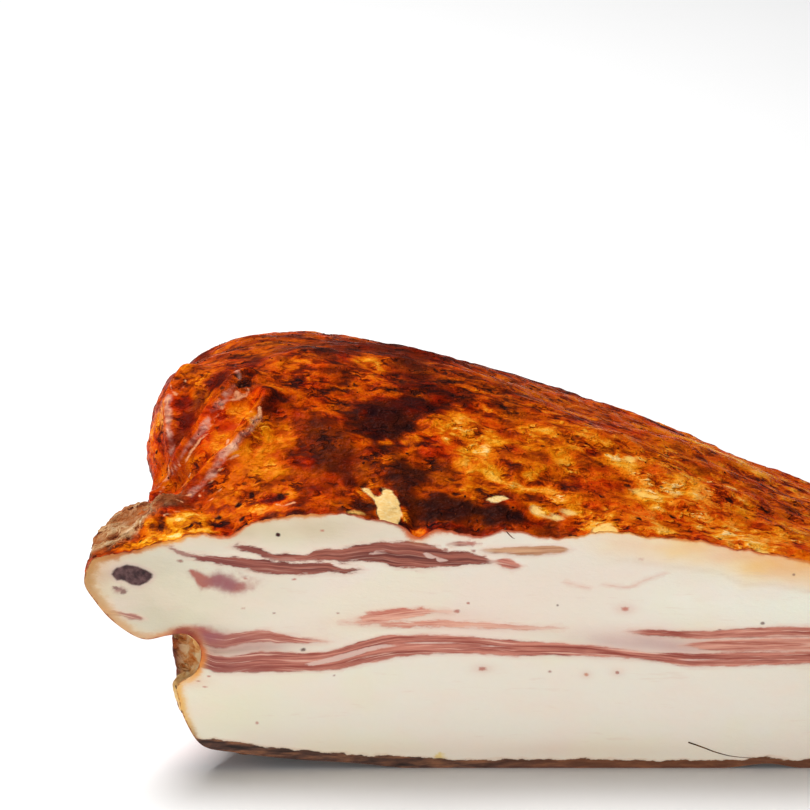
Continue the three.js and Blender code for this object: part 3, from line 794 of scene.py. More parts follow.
# Patches of the crust: x, y from the cut, radius x, y, tone, hue. Tone 0 is near black,
# 0.3 red-brown, 0.6 orange, 0.8 gold and 1 cream. Hue -1 is redder and 1 yellower.
CRUST_PATCHES = [
    (-64, 66, 22, 15, 0.44, 0.2), (-30, 70, 22, 16, 0.3, -0.3), (8, 66, 20, 16, 0.5, 0.1),
    (-45, 94, 24, 14, 0.46, 0.2), (5, 92, 24, 12, 0.27, 0), (75, 22, 17, 20, 0.52, 0.1),
    (-23, 44, 12, 9, 0.26, -0.5), (-12, 52, 12, 8, 0.4, 0), (32, 45, 13, 12, 0.46, 0.2),
    (55, 42, 12, 12, 0.4, 0), (-62, 18, 6.5, 8, 0.7, 0.1), (-47, 18, 8, 9.5, 0.27, -0.1),
    (-34, 27, 9, 10, 0.14, -0.4), (-49, 8, 8, 4.8, 0.42, -0.4), (-69, 11, 6, 3.6, 0.58, 0),
    (-30, 12, 6.2, 5, 0.17, 0.1), (-22, 21, 5.2, 5.2, 0.44, -0.9), (-19, 31, 7.2, 5.4, 0.66, 0.3),
    (-27, 35, 6.5, 4.8, 0.2, -0.8), (-59, 29, 5.8, 4.3, 0.25, -0.8),
    (-53, 28, 5.2, 3.5, 0.42, -0.1), (-13, 20, 6.4, 8, 0.72, 0.25), (2, 30, 9.6, 7, 0.62, 0.2),
    (0, 19, 7.2, 6, 0.58, 0.1), (8, 16, 5.8, 3.6, 0.32, -0.2), (15, 30, 5.6, 6, 0.58, 0.4),
    (14, 17, 5.2, 5.2, 0.47, -0.4), (26, 24, 5, 6.2, 0.62, -0.3), (34, 27, 4.8, 8.6, 0.72, 0.3),
    (25, 17, 6.4, 4.8, 0.74, 0.5), (34, 13, 6, 5, 0.56, -0.2), (22, 5, 5, 4.8, 0.58, -0.3),
    (44, 21, 6.8, 7, 0.57, 0.1), (53, 26, 5, 10, 0.46, -0.2), (44, 7, 7.4, 6.6, 0.67, 0.2),
    (56, 14, 5.4, 8.6, 0.62, 0.3), (57, 4, 4, 4.6, 0.55, -0.4), (41, 25, 3, 4.6, 0.45, -0.4),
    (-57, 21, 3, 3, 0.68, 0.1), (-54, 26, 3.2, 2, 0.44, -0.3), (-53, 16, 3.4, 4, 0.37, -0.6),
    (-63, 13, 2.4, 2.6, 0.65, 0.2), (-68, 10, 2.2, 2, 0.66, 0.1), (-55, 6, 2.1, 2.6, 0.67, 0.1),
    (-42, 10, 1.9, 1.8, 0.24, -0.2), (-39, 3, 3.1, 3, 0.22, -0.2), (-36, 13, 2.1, 3.9, 0.46, 0),
    (-34, 21, 2.2, 2, 0.62, 0.1), (-29, 23, 2.8, 3, 0.64, 0.1), (-25, 28, 2.6, 2.6, 0.57, -0.2),
    (-22, 5, 8.6, 3.4, 0.08, 0.2), (-9, 4, 6.8, 3.2, 0.07, 0.1), (-29, 5, 3.9, 3.2, 0.19, 0),
    (-23, 0.8, 8.5, 1.3, 0.38, -0.8), (-30, 3, 1.4, 2, 0.66, 0.1), (-27, 0.8, 2, 1.4, 0.62, 0),
    (-12, 0.6, 5.5, 1.1, 0.38, -0.8), (1, 1.6, 2.8, 1.5, 0.32, -0.3), (-20, 27, 1.8, 4, 0.7, 0.2),
    (-13, 23, 2.9, 2.2, 0.88, 0.3), (-10, 28, 3.4, 3.4, 0.8, 0.3), (-17, 17, 2.9, 2.2, 0.8, 0.2),
    (-11, 15, 2.2, 2.6, 0.82, 0.3), (-5, 13, 4.7, 2.1, 0.76, 0.2), (-16, 9, 2.4, 2.6, 0.7, 0.2),
    (-5, 18, 2.1, 1.9, 0.3, 0), (2, 34, 2.6, 2.4, 0.78, 0.4), (6, 25, 3, 3.8, 0.74, 0.4),
    (12, 32, 2.5, 2.9, 0.45, -0.3), (20, 29, 2.8, 3.1, 0.8, 0.8), (3, 12, 3.2, 2.8, 0.72, 0),
    (0, 7, 2.4, 2, 0.88, 0.4), (9, 8, 3, 2.1, 0.8, 0.4), (13, 2.6, 4.2, 2.3, 0.86, 0.4),
    (28, 4, 3.2, 3.4, 0.78, 0.4), (38, 24, 1.9, 6, 0.66, -0.4), (49, 1, 2.4, 2.2, 0.84, 0.4),
    (-59.5, 5.6, 4.2, 1.2, 0.16, -0.9), (-77, 3.4, 9, 5, 0.6, 0.7), (-81, 1.6, 6, 1.2, 0.78, 0.9),
    (-73, 4.4, 1.6, 1.4, 0.4, 0), (-80.5, 4.2, 1.8, 1, 0.4, 0.2), (-77, 6.5, 2.2, 1, 0.74, 0.8),
    (-76, 2.6, 1.5, 0.9, 0.42, 0.2), (-84, 5.5, 2.4, 1.2, 0.42, 0.3), (-88, 2, 6, 2.4, 0.66, 0.8),
    (-97, 2, 4, 3, 0.4, -0.2), (-70, 2.5, 3, 3, 0.42, -0.6), (-66, 5, 3.5, 3, 0.58, 0.1),
]
# The same on the steep shoulder: centre, radius, tone, hue
SHOULDER_PATCHES = [
    (-88, 44, 61, 6, 0.56, -0.6), (-86, 46, 68, 5, 0.62, 0.5), (-76, 43, 74, 5.5, 0.44, 0.4),
    (-77, 49, 78, 5.5, 0.46, 0.4), (-72, 44, 77, 3.6, 0.22, -0.5), (-81, 43, 73, 2.6, 0.26, -0.8),
    (-80, 38, 70, 2.6, 0.24, -0.8), (-81, 36, 66, 2.8, 0.4, 0.3), (-73, 30, 72, 4.5, 0.56, -0.9),
    (-75, 28, 69, 2.8, 0.5, -1.2), (-66, 29, 75, 4.4, 0.72, 0.3), (-63, 31, 78, 3, 0.57, -0.8),
    (-72, 26, 69, 3.4, 0.69, 0.3), (-75, 26, 66, 3, 0.6, -0.3), (-79, 26, 61, 4.6, 0.63, 0.1),
    (-77, 26, 62, 1.6, 0.3, 0), (-85, 36, 57, 4, 0.56, 0.1), (-62, 22, 73, 3, 0.74, 0.3),
    (-67, 22, 72, 2.6, 0.6, 0.2), (-80, 12, 58, 4, 0.3, -0.6),
]
PATCH_STRENGTH = 0.96
# Places where the crust has come away and the fat shows, as outlines of [x, y from the
# cut], and how pale each is
BARE = [
    ([(-35.4, -1), (-36.1, 2.9), (-36.5, 5.2), (-38.4, 7.6), (-40.3, 9.4), (-37.9, 8.6),
     (-36.3, 6.7), (-34.9, 7), (-35.2, 9.3), (-33.2, 8.9), (-32, 6.8), (-31.2, 5.3), (-30.4, 3),
     (-31.6, -1)], 0.95),
    ([(-12.9, 7.3), (-10.2, 9.2), (-7.8, 9.3), (-6.6, 8.5), (-10, 6.8)], 1),
    ([(-2.9, 7.2), (-0.3, 8.8), (1, 7.7), (0.3, 5.4), (-1.9, 6.3)], 0.8),
    ([(0.6, 5), (3, 6.5), (5.4, 5.6), (3.4, 4.8)], 0.75),
    ([(4.2, 7.6), (6.6, 8), (8.5, 6.9), (5.9, 6.4)], 0.75),
    ([(11, -1), (11.6, 1.6), (13.7, 3.4), (15.5, 3.3), (16.7, 1), (17, -1)], 0.7),
    ([(19, 31.3), (21.1, 33.8), (22.9, 32.8), (21, 30)], 0.6),
    ([(20.5, 20.3), (22.8, 20.8), (26.4, 18.4), (23.7, 17)], 0.55),
    ([(47, -1), (48, 1.4), (50.4, 1.2), (51, -1)], 0.5),
    ([(-42.8, 0.2), (-41, 1.1), (-38.8, 0.9), (-40.6, 0.3)], 0.6),
]
# Folded skin by the crests: path, half width
STRIPS = [
    ([(-85, 34.6, 55), (-81.9, 32, 59), (-80.3, 29.7, 63), (-78.2, 29.2, 67), (-76.1, 29.4, 69),
     (-74.8, 30.1, 72), (-72.6, 31.5, 74), (-70.8, 32.8, 76), (-69, 33.5, 78),
     (-67.2, 34.7, 80)], 0.7),
    ([(-62.4, 24.6, 75), (-63.7, 22.3, 74), (-65.6, 20.3, 72), (-67.8, 18.9, 70)], 0.8),
    ([(-65.6, 20.3, 72), (-67.8, 18.9, 70), (-68.9, 18.6, 69), (-71.4, 16.7, 66)], 0.9),
    ([(-71.4, 16.7, 66), (-73.6, 16, 64), (-75.6, 15.1, 63), (-77.6, 14, 61)], 0.8),
    ([(-83.5, 46.1, 72), (-83.6, 41.9, 70), (-83, 39.7, 68), (-83.2, 37.8, 66), (-82.9, 36.3, 64),
     (-82.9, 35.7, 62)], 0.8),
    ([(-69.2, 50.7, 79), (-67.2, 35.7, 81)], 0.6),
]
# Thin lines of painted highlight along the crests and edges of folds: path, half width
PAINTED_HIGHLIGHT_LINES = [
    ([(-87.2, 32.4, 54), (-83.9, 34.8, 57), (-79.4, 28.9, 63), (-75.2, 28.6, 69),
     (-73.2, 29.7, 72), (-71, 31.8, 75), (-69.2, 32.4, 76), (-67.6, 32.7, 77)], 0.25),
    ([(-68.9, 32.8, 77), (-67.6, 33.6, 79), (-66, 34.1, 79), (-64.9, 33.4, 79), (-65.5, 32.4, 78),
     (-67.4, 32.5, 77)], 0.22),
    ([(-66.9, 17.3, 69), (-69.6, 16.8, 67), (-72, 15.8, 65), (-74.4, 14.8, 63),
     (-76.4, 13.6, 61)], 0.2),
    ([(-80.3, 47.5, 76), (-82.6, 46, 73), (-83.4, 44.7, 72)], 0.2),
    ([(-62.3, 25.6, 77), (-62.1, 24.8, 75.5)], 0.35),
    ([(-58.2, 3.2, 63), (-56.2, 2.8, 63), (-54.2, 3.1, 63)], 0.25),
    ([(-70.1, 25.2, 70.4), (-69.7, 24.8, 69.6)], 0.5),
    ([(-91.1, 15.7, 55), (-89, 17.4, 56), (-86.8, 20, 56), (-84, 15, 58), (-80.1, 14.5, 60),
     (-77.6, 14, 61)], 0.2),
]
# Half width of the painted highlight along a wrinkle's crest, at share 1
WRINKLE_HIGHLIGHT_WIDTH = 0.3
# Where the crust is even: x, y from the cut, radius x, y, strength of mottling
EVEN_PATCHES = [
    (-62, 20, 12, 12, 0.5), (-78, 30, 14, 22, 0.65), (-44, 10, 14, 7, 0.75), (-16, 8, 16, 7, 0.75),
    (-82, 3, 12, 4, 1.2), (-36, 22, 10, 12, 0.8),
]
# The pleat whose hollow gets painted shade
SHADED_VALLEY_PLEAT = 4
# Where the crust passes into the side and the back, how deep the rind reaches up, and the
# bare wall at the left, by height and by distance from the cut
TOP_Z = (34, 46)
BACK_TONE_Y = (36, 60)
BACK_CALM_Y = (40, 70)
RIND_Z = (5, 13)
WALL_X = -66
WALL_Z = (5, 34)
WALL_DEEP = 2.6
WALL_PALE = 0.9
BARE_REACH = 40


def patches(p, x, d):
    """Distance from the middle of each patch, 1 at its edge, with its tone and hue."""
    for *place, tone, hue in CRUST_PATCHES:
        yield oval(x, d, *place), tone, hue
    for *centre, radius, tone, hue in SHOULDER_PATCHES:
        yield np.linalg.norm(p - on_part(centre), axis=1) / radius, tone, hue


def blend_patches(p, x, d):
    """Tone and hue of the crust at its points."""
    away = smooth(*BACK_TONE_Y, d)
    tone = 0.48 + 0.10 * smooth(0, 40, x) - 0.04 * away
    tone += (0.13 + 0.16 * away) * fractal(p, "tone")
    tone += 0.3 * away * fractal(p, "back tone")
    hue = 0.5 * fractal(p, "hue") - 0.2
    wobble = 0.35 * fractal(p, "patch edge")
    for r, patch_tone, patch_hue in patches(p, x, d):
        w = PATCH_STRENGTH * (1 - smooth(0.5, 1.2, r + wobble))
        tone, hue = mix(tone, patch_tone, w), mix(hue, patch_hue, w)
    tone = tone - 0.045 + 0.07 * smooth(0, 30, x)
    tone -= 0.08 * (1 - smooth(0.6, 2.2, d + 0.8 * wobble)) * (x > -70)
    tone -= 0.05 * bump((x + 40) / 26) * smooth(6, 14, d)
    hue = hue - 0.14 - 0.2 * smooth(-60, -70, x) * smooth(12, 24, d)
    return tone, hue - 0.14 * smooth(-5, 20, x)


def mottling(x, d):
    """Strength of the mottling, less where the crust is even."""
    strength = np.ones(x.shape)
    for *place, value in EVEN_PATCHES:
        strength = mix(strength, value, bump(oval(x, d, *place)))
    return strength


def bare_share(x, d):
    """How deep a point lies inside a bare patch, in mm, and how pale it is."""
    bare = np.full(x.shape, -FAR, float)
    pale = np.zeros(x.shape)
    near = d < BARE_REACH
    for corners, share in BARE:
        inside = polygon_distance(x[near], d[near], corners)[0]
        pale[near] = np.where(inside > bare[near], share, pale[near])
        bare[near] = np.maximum(bare[near], inside)
    return np.clip(bare, -FAR, FAR), pale


def depth_in_lines(p, lines):
    """How deep a point lies inside the nearest of some laid lines, in mm."""
    best = np.full(len(p), -FAR, float)
    for path, half in lines:
        best = np.maximum(best, half - line_distance(p, laid_line(path, p)))
    return best


def skin_fields(p):
    """Attributes of the skin at its points."""
    x, z = p[:, 0], p[:, 2]
    d = behind_cut(p)
    top = smooth(*TOP_Z, z)
    tone, hue = blend_patches(p, x, d)
    side = 0.38 + 0.22 * fractal(p, "side") - 0.1 * smooth(16, 4, z)
    tone = mix(side, tone, top)
    # Thin lines of painted highlight along fold crests and wrinkle crests
    highlighted_wrinkles = [(path, WRINKLE_HIGHLIGHT_WIDTH * share)
                     for path, _lift, _width, share in WRINKLES if share]
    line = depth_in_lines(p, PAINTED_HIGHLIGHT_LINES + highlighted_wrinkles)
    strip = depth_in_lines(p, STRIPS)
    # Painted shade along the hollow of one pleat
    path, _height, width = PLEATS[SHADED_VALLEY_PLEAT]
    valley_shade = 0.7 * bump(path_distance(p, path) / (0.75 * width))
    # Painted shade in the pits of the crust
    pit_shade = np.zeros(len(x))
    for px, pd, radius, _depth in PITS:
        pit_shade = np.maximum(pit_shade, top * bump(np.hypot(x - px, d - pd) / radius))
    front = top * (1 - 0.75 * smooth(*BACK_CALM_Y, d))
    notch = (bump((z - 26) / 7) * smooth(-72, -74, x) * smooth(-86, -84, x)
             * (1 - smooth(2, 6, d)))
    rind = 1 - smooth(*RIND_Z, z + 3 * fractal(p, "rind"))
    rind = np.maximum(rind, 1 - smooth(0, 1.5, z))
    bare, pale = bare_share(x, d)
    bare = mix(-FAR, bare, top)
    # Bare fat on the left wall, close behind the cut
    wall = np.minimum(WALL_DEEP - d, np.minimum(z - WALL_Z[0], WALL_Z[1] - z))
    wall = (wall + 2.4 * fractal(p, "wall")) * (x < WALL_X)
    bare = np.where(wall > 0, wall, bare)
    pale = np.where(wall > 0, WALL_PALE, pale)
    return {"tone": (tone, line, pit_shade), "kind": (knob_share(p), notch, rind),
            "bare": (bare, pale, mottling(x, d) * mix(0.62, 1, front)),
            "fold": (hue, strip, valley_shade)}


def face_fields(x, z, inside, rim):
    """Attributes of the cut face at its points, and their values elsewhere."""
    fields, pale = streak_fields(x, z)
    rind = np.interp(x, *np.array(RIND_LINE).T) - z
    gland = polygon_distance(x, z, GLAND)[0]
    purple, red, spot, spot_tone = np.zeros((4, len(x)))
    for *place, how_purple, how_red in STAINS:
        w = bump(oval(x, z, *place))
        purple = np.maximum(purple, how_purple * w)
        red = np.maximum(red, how_red * w)
    for *place, tone, strength in SPOTS:
        r = oval(x, z, *place)
        near = r < SPOT_REACH
        spot[near] = np.maximum(spot, strength * np.clip(1 - r, 0, 1))[near]
        spot_tone[near] = tone
    made = {f"streak_{group}": (fields[group], (FAR, NO_STREAK, 0))
            for group in range(STREAK_GROUPS)}
    made["rim"] = (np.stack([inside, rim[:, 0], pale], -1), (0, 1, -FAR))
    made["rim_colour"] = (rim[:, 1:], (0.5, 0.3, 0.1))
    made["fat"] = (fat_colours(x, z), (0.8, 0.7, 0.6))
    made["marks"] = (np.stack([rind, gland, purple], -1), (0, -FAR, 0))
    made["spots"] = (np.stack([spot, spot_tone, red], -1), (0, 0, 0))
    return made


def face_recess(x, z, inside):
    """How far the cut face lies behind the plane of the cut."""
    fields, pale = streak_fields(x, z)
    lean = np.max(smooth(-0.35, 0.35, fields[:, :, 1] - np.abs(fields[:, :, 0])), axis=0)
    lean *= 1 - smooth(-0.3, 0.2, pale)
    at = np.stack([x, 0 * x, z], -1)
    ripple = fractal(at, "cut ripple")
    grain = fractal(at, "cut grain")
    recess = FACE_RECESS * (0.55 + 0.32 * ripple) + LEAN_RECESS * lean * (1 + grain)
    return np.clip(recess, 0.02, None) * smooth(0, 1.4, inside)


def add_object(name, data):
    """An object in the scene."""
    made = bpy.data.objects.new(name, data)
    bpy.context.scene.collection.objects.link(made)
    return made


def add_mesh(name, points, faces, materials, flat=False):
    """A mesh object from points in millimetres."""
    mesh = bpy.data.meshes.new(name)
    mesh.from_pydata((np.array(points) * MM).tolist(), [], faces, shade_flat=flat)
    for material in materials:
        mesh.materials.append(material)
    return add_object(name, mesh)


def tube_faces(rings, sides, start=0):
    """Faces between rings of points that follow each other."""
    faces = []
    for row in range(start, start + (rings - 1) * sides, sides):
        for k in range(sides):
            a, b = row + k, row + (k + 1) % sides
            faces.append((a, a + sides, b + sides, b))
    return faces


def mark_outline(mesh):
    """The edges round the cut are sharp."""
    ends = np.empty(len(mesh.edges) * 2, np.int32)
    mesh.edges.foreach_get("vertices", ends)
    ends = ends.reshape(-1, 2)
    gap = np.abs(ends[:, 0] - ends[:, 1])
    round_cut = (ends < RING_POINTS).all(1) & ((gap == 1) | (gap == RING_POINTS - 1))
    mesh.attributes.new("sharp_edge", "BOOLEAN", "EDGE").data.foreach_set("value", round_cut)


def store(mesh, name, values, where, elsewhere):
    """A vector at some of the points, and what it is at the others."""
    data = np.tile(np.array(elsewhere, float), (len(mesh.vertices), 1))
    data[where] = values
    layer = mesh.attributes.new(name, "FLOAT_VECTOR", "POINT")
    layer.data.foreach_set("vector", data.ravel())


def body_faces(triangles):
    """Faces of the skin, of the middle of the back and of the cut, with their materials."""
    faces = tube_faces(ROWS, RING_POINTS)
    last = (ROWS - 1) * RING_POINTS
    faces += [(last + (k + 1) % RING_POINTS, last + k, SKIN_POINTS - 1)
              for k in range(RING_POINTS)]
    return faces + triangles, np.array([0] * len(faces) + [1] * len(triangles), np.int32)


def build_body(crust, cut):
    """The jowl: rings of skin, the middle of the back and the cut face."""
    rings, base, apex = skin_rings()
    ring = rings[0]
    inner, triangles = face_mesh(ring)
    inside, side = polygon_distance(*inner.T, ring[:, [0, 2]])
    face = np.stack([inner[:, 0], face_recess(*inner.T, inside) - DEPTH / 2, inner[:, 1]], -1)
    points = np.concatenate([rings.reshape(-1, 3), apex[None], face])
    low, high = points.min(0), points.max(0)
    box_low, box_high = (np.array(c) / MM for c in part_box("cured_pork_jowl"))
    placed = box_low + (points - low) * (box_high - box_low) / (high - low)
    faces, slots = body_faces(triangles)
    body = add_mesh("jowl_body", placed, faces, (crust, cut))
    mesh = body.data
    mesh.polygons.foreach_set("material_index", slots)
    mark_outline(mesh)
    for name, values in skin_fields(np.concatenate([base.reshape(-1, 3), apex[None]])).items():
        store(mesh, name, np.stack(values, -1), np.arange(SKIN_POINTS), (0, 0, 0))
    # The outline belongs to the cut face as well
    outline = np.arange(RING_POINTS)
    at_face = np.concatenate([outline, np.arange(SKIN_POINTS, len(points))])
    rim = rim_table(ring)[np.concatenate([outline, side])]
    inside = np.concatenate([np.zeros(RING_POINTS), inside])
    x, _y, z = points[at_face].T
    for name, (values, elsewhere) in face_fields(x, z, inside, rim).items():
        store(mesh, name, values, at_face, elsewhere)
    return body, placed


class Field:
    """A value or colour that a material works out at each point, with arithmetic."""

    def __init__(self, shade, socket):
        self.shade = shade
        self.socket = socket

    def __add__(self, other):
        return self.shade.math("ADD", self, other)

    def __sub__(self, other):
        return self.shade.math("SUBTRACT", self, other)

    def __rsub__(self, other):
        return self.shade.math("SUBTRACT", other, self)

    def __mul__(self, other):
        return self.shade.math("MULTIPLY", self, other)

    def __truediv__(self, other):
        return self.shade.math("DIVIDE", self, other)

    def __abs__(self):
        return self.shade.math("ABSOLUTE", self)

    __radd__ = __add__
    __rmul__ = __mul__

    def span(self, low, high, start=0, end=1):
        """Smooth step from start to end as the value goes from low to high."""
        inputs = dict(enumerate((self, low, high, start, end)))
        return self.shade.make("ShaderNodeMapRange", inputs, interpolation_type="SMOOTHSTEP")

    def toward(self, other, share, blend="MIX"):
        """This colour mixed toward another by a share."""
        return self.shade.make("ShaderNodeMix", {0: share, 6: self, 7: other}, 2,
                               data_type="RGBA", blend_type=blend)

    def ramp(self, *stops):
        """A colour by this value, from stops of place and colour."""
        made = self.shade.make("ShaderNodeValToRGB", {0: self})
        elements = made.socket.node.color_ramp.elements
        while len(elements) < len(stops):
            elements.new(1.0)
        for element, (at, rgb) in zip(elements, stops):
            element.position = at
            element.color = (*srgb(rgb), 1)
        return made


class Shade:
    """Builds the nodes of one material. Its places are in millimetres."""

    def __init__(self, name):
        self.material = bpy.data.materials.new(name)
        self.material.use_nodes = True
        self.material.node_tree.nodes.clear()
        self.place = self.sized(self.make("ShaderNodeTexCoord", {}, "Object"), (MM, MM, MM))

    def make(self, kind, inputs, output=0, **settings):
        """A node with its settings and inputs, and the field that it gives."""
        made = self.material.node_tree.nodes.new(kind)
        for key, value in settings.items():
            setattr(made, key, value)
        for key, value in inputs.items():
            target = made.inputs[key]
            if isinstance(value, Field):
                self.material.node_tree.links.new(value.socket, target)
            else:
                target.default_value = (*srgb(value), 1) if target.type == "RGBA" else value
        return Field(self, made.outputs[output]) if made.outputs else None

    def math(self, operation, *values):
        """The result of an operation on values."""
        return self.make("ShaderNodeMath", dict(enumerate(values)), operation=operation)

    def join(self, *values):
        """A vector from three values."""
        return self.make("ShaderNodeCombineXYZ", dict(enumerate(values)))

    def attribute(self, name):
        """A vector stored with the points of the mesh."""
        return self.make("ShaderNodeAttribute", {}, "Vector", attribute_name=name)

    def split(self, vector):
        """The three values of a vector."""
        node = self.make("ShaderNodeSeparateXYZ", {0: vector}).socket.node
        return [Field(self, socket) for socket in node.outputs]

    def sized(self, at, stretch, shift=(0, 0, 0)):
        """Places divided by a stretch along each axis, then shifted."""
        return self.make("ShaderNodeMapping", {
            "Vector": at, "Scale": [1 / s for s in stretch], "Location": shift})

    def warped(self, amount, size):
        """Places pushed about by noise."""
        wander = self.make("ShaderNodeTexNoise",
                           {"Vector": self.place, "Scale": 1 / size, "Detail": 2}, "Color")
        return self.make("ShaderNodeVectorMath", {0: wander, 1: (amount,) * 3, 2: self.place},
                         operation="MULTIPLY_ADD")

    def noise(self, size, stretch=None, detail=3, rough=0.55, shift=(0, 0, 0), twist=0, at=None):
        """Noise of a size in millimetres, here or at other places, stretched and shifted."""
        at = at or self.place
        return self.make("ShaderNodeTexNoise", {
            "Vector": self.sized(at, stretch, shift) if stretch else at, "Scale": 1 / size,
            "Detail": detail, "Roughness": rough, "Distortion": twist}, "Fac")

    def surface(self, base, rough, relief=None, depth=0, steady=()):
        """The material, from its colour, roughness, relief in metres and steady values."""
        inputs = {"Base Color": base, "Roughness": rough, **dict(steady)}
        if relief:
            inputs["Normal"] = self.make(
                "ShaderNodeBump", {"Strength": 1, "Distance": depth, "Height": relief})
        self.make("ShaderNodeOutputMaterial",
                  {"Surface": self.make("ShaderNodeBsdfPrincipled", inputs)})
        return self.material


GOLD_RAMP = [
    (0, (40, 16, 10)), (0.1, (64, 26, 12)), (0.2, (92, 37, 9)), (0.3, (124, 54, 5)),
    (0.4, (158, 74, 3)), (0.5, (190, 96, 2)), (0.6, (212, 117, 3)), (0.7, (226, 139, 8)),
    (0.8, (238, 163, 28)), (0.9, (246, 186, 66)), (1, (250, 216, 134)),
]
RED_RAMP = [
    (0, (36, 12, 14)), (0.1, (58, 16, 12)), (0.2, (84, 16, 6)), (0.3, (116, 20, 3)),
    (0.4, (152, 31, 1)), (0.5, (186, 46, 1)), (0.6, (208, 66, 2)), (0.7, (222, 90, 8)),
    (0.8, (232, 121, 30)), (0.9, (240, 152, 64)), (1, (248, 198, 138)),
]


def crust_material():
    """Spiced crust with its folds, bare fat, lobe skin and rind, and painted shade and highlights.
    """
    s = Shade("cured_crust")
    tone, line, pit_shade = s.split(s.attribute("tone"))
    knob, notch, rind = s.split(s.attribute("kind"))
    bare, bare_pale, mottled = s.split(s.attribute("bare"))
    hue, strip, valley_shade = s.split(s.attribute("fold"))
    # Mottling of the crust from large to small
    drift = s.warped(2.6, 3)
    large = s.noise(5.5, (1.5, 1, 1), at=drift)
    flakes = s.noise(1.9, (2.3, 1.3, 1.1), 4, 0.56, at=drift)
    fine = s.noise(0.6, (2, 1, 1), 3, 0.6, (7, 3, 1))
    level = s.noise(1.9, (3.2, 1.3, 1.2), shift=(3, 9, 4), at=drift) * 2 - 1
    groups = s.noise(5.5, detail=2, rough=0.5).span(0.48, 0.64)
    # Dark seams between flakes: partly the crust's own dark streaks, partly painted shade in their
    # grooves, with a line of painted highlight along one side
    seam_and_shade = abs(level).span(0.14, 0.02) * groups
    painted_edge_highlight = abs(level - 0.19).span(0.09, 0.01) * groups
    calm = s.noise(13, detail=2, rough=0.5).span(0.40, 0.58, 0.55, 1.15)
    chips = s.noise(1.5, (2.8, 1.5, 1.1), 3, 0.5, (9, 2, 6), at=drift)
    chips = chips.span(0.55, 0.60, 0, 0.09) + chips.span(0.45, 0.39, 0, -0.10)
    t = large * 0.78 - 0.35 + (flakes.span(0.33, 0.58, -0.21, 0.12) + chips) * calm
    t = (t + fine * 0.26 - 0.13) * mottled - seam_and_shade * 0.24 + painted_edge_highlight * 0.13
    spread = tone.span(0.05, 0.42, 0.32, 1) * tone.span(0.62, 0.84, 1, 0.6)
    t = t * spread + tone
    shade = s.noise(3.2, (1.6, 1.2, 1), 2, 0.5, (5, 5, 8), at=drift) * 2.2 - 1.1 + hue
    base = t.ramp(*RED_RAMP).toward(t.ramp(*GOLD_RAMP), shade * 0.5 + 0.5)
    # Painted shade in the hollow of a pleat
    base = base.toward((92, 20, 10), valley_shade)
    # Dark specks lying in the crust
    speck = s.make("ShaderNodeTexVoronoi", {
        "Vector": s.sized(s.place, (2, 1.2, 1)), "Scale": 1 / 2.6}, "Distance")
    speck = speck.span(0.20, 0.10) * s.noise(6, detail=2, rough=0.5).span(0.5, 0.6)
    base = base.toward((56, 20, 12), speck * 0.8)
    # Painted shade in the pits
    base = base.toward((46, 14, 12), pit_shade.span(0.25, 0.7))
    # Mauve skin of the folds, and thin lines of painted highlight along them
    ragged = flakes * 1.4 - 0.7
    fold = large * 3 - 1.9 + ragged * 0.6 + strip
    skin = flakes.ramp((0.36, (138, 78, 66)), (0.5, (188, 138, 122)), (0.64, (220, 182, 162)))
    base = base.toward(skin, fold.span(-0.55, 0.5, 0, 0.68))
    # Painted highlight along the thin lines
    thin = (line + (fine - 0.5) * 0.6).span(-0.18, 0.22)
    base = base.toward((236, 166, 118), thin * 0.85)
    # Fat where the crust has come away
    open_fat = (ragged * 1.3 + bare).span(
        bare_pale.span(1, 0.6, -0.2, -0.5), bare_pale.span(1, 0.6, 0.25, 0.8))
    fat = fine.ramp((0.3, (232, 184, 106)), (0.55, (240, 204, 136)), (0.75, (246, 222, 168)))
    base = base.toward(fat.toward((243, 188, 84), bare_pale.span(1, 0.4)), open_fat)
    # Bare wrinkled skin of the lobe
    turned = s.make("ShaderNodeVectorRotate", {"Vector": s.place, "Angle": -0.75},
                    rotation_type="Z_AXIS")
    wrinkle = s.noise(1.3, (4.5, 1, 1.2), 4, 0.62, twist=0.3, at=turned)
    skin = wrinkle.ramp((0.33, (56, 20, 14)), (0.42, (134, 74, 42)), (0.51, (186, 142, 96)),
                        (0.62, (208, 174, 134)), (0.74, (232, 210, 174)))
    skin = skin.toward((158, 88, 44), large.span(0.46, 0.62, 0, 0.7))
    dark = flakes.ramp((0, (84, 34, 18)), (1, (170, 96, 56)))
    skin = skin.toward(dark, s.split(s.place)[0].span(-90, -80, 0, 0.6))
    base = base.toward(skin, knob * 0.95)
    # Tan wall of the notch
    wall = flakes.ramp((0.36, (150, 76, 26)), (0.48, (178, 122, 72)), (0.62, (190, 160, 120)))
    base = base.toward(wall, notch)
    # Rind round the base
    hide = s.noise(3.2, (2.4, 2.4, 1), 5, 0.62).ramp(
        (0.25, (42, 24, 18)), (0.5, (84, 50, 36)), (0.7, (128, 78, 48)))
    base = base.toward(hide, (rind + flakes * 0.9 - 0.45).span(0.4, 0.62))
    rough = flakes.span(0.3, 0.7, 0.46, 0.26) + knob * 0.14
    relief = flakes.span(0.36, 0.66) + fine * 0.45 + wrinkle * knob * 2 - seam_and_shade * 0.7 - speck * 0.4
    return s.surface(base, rough, relief * open_fat.span(0, 1, 1, 0.3), 0.0004, {"IOR": 1.07})


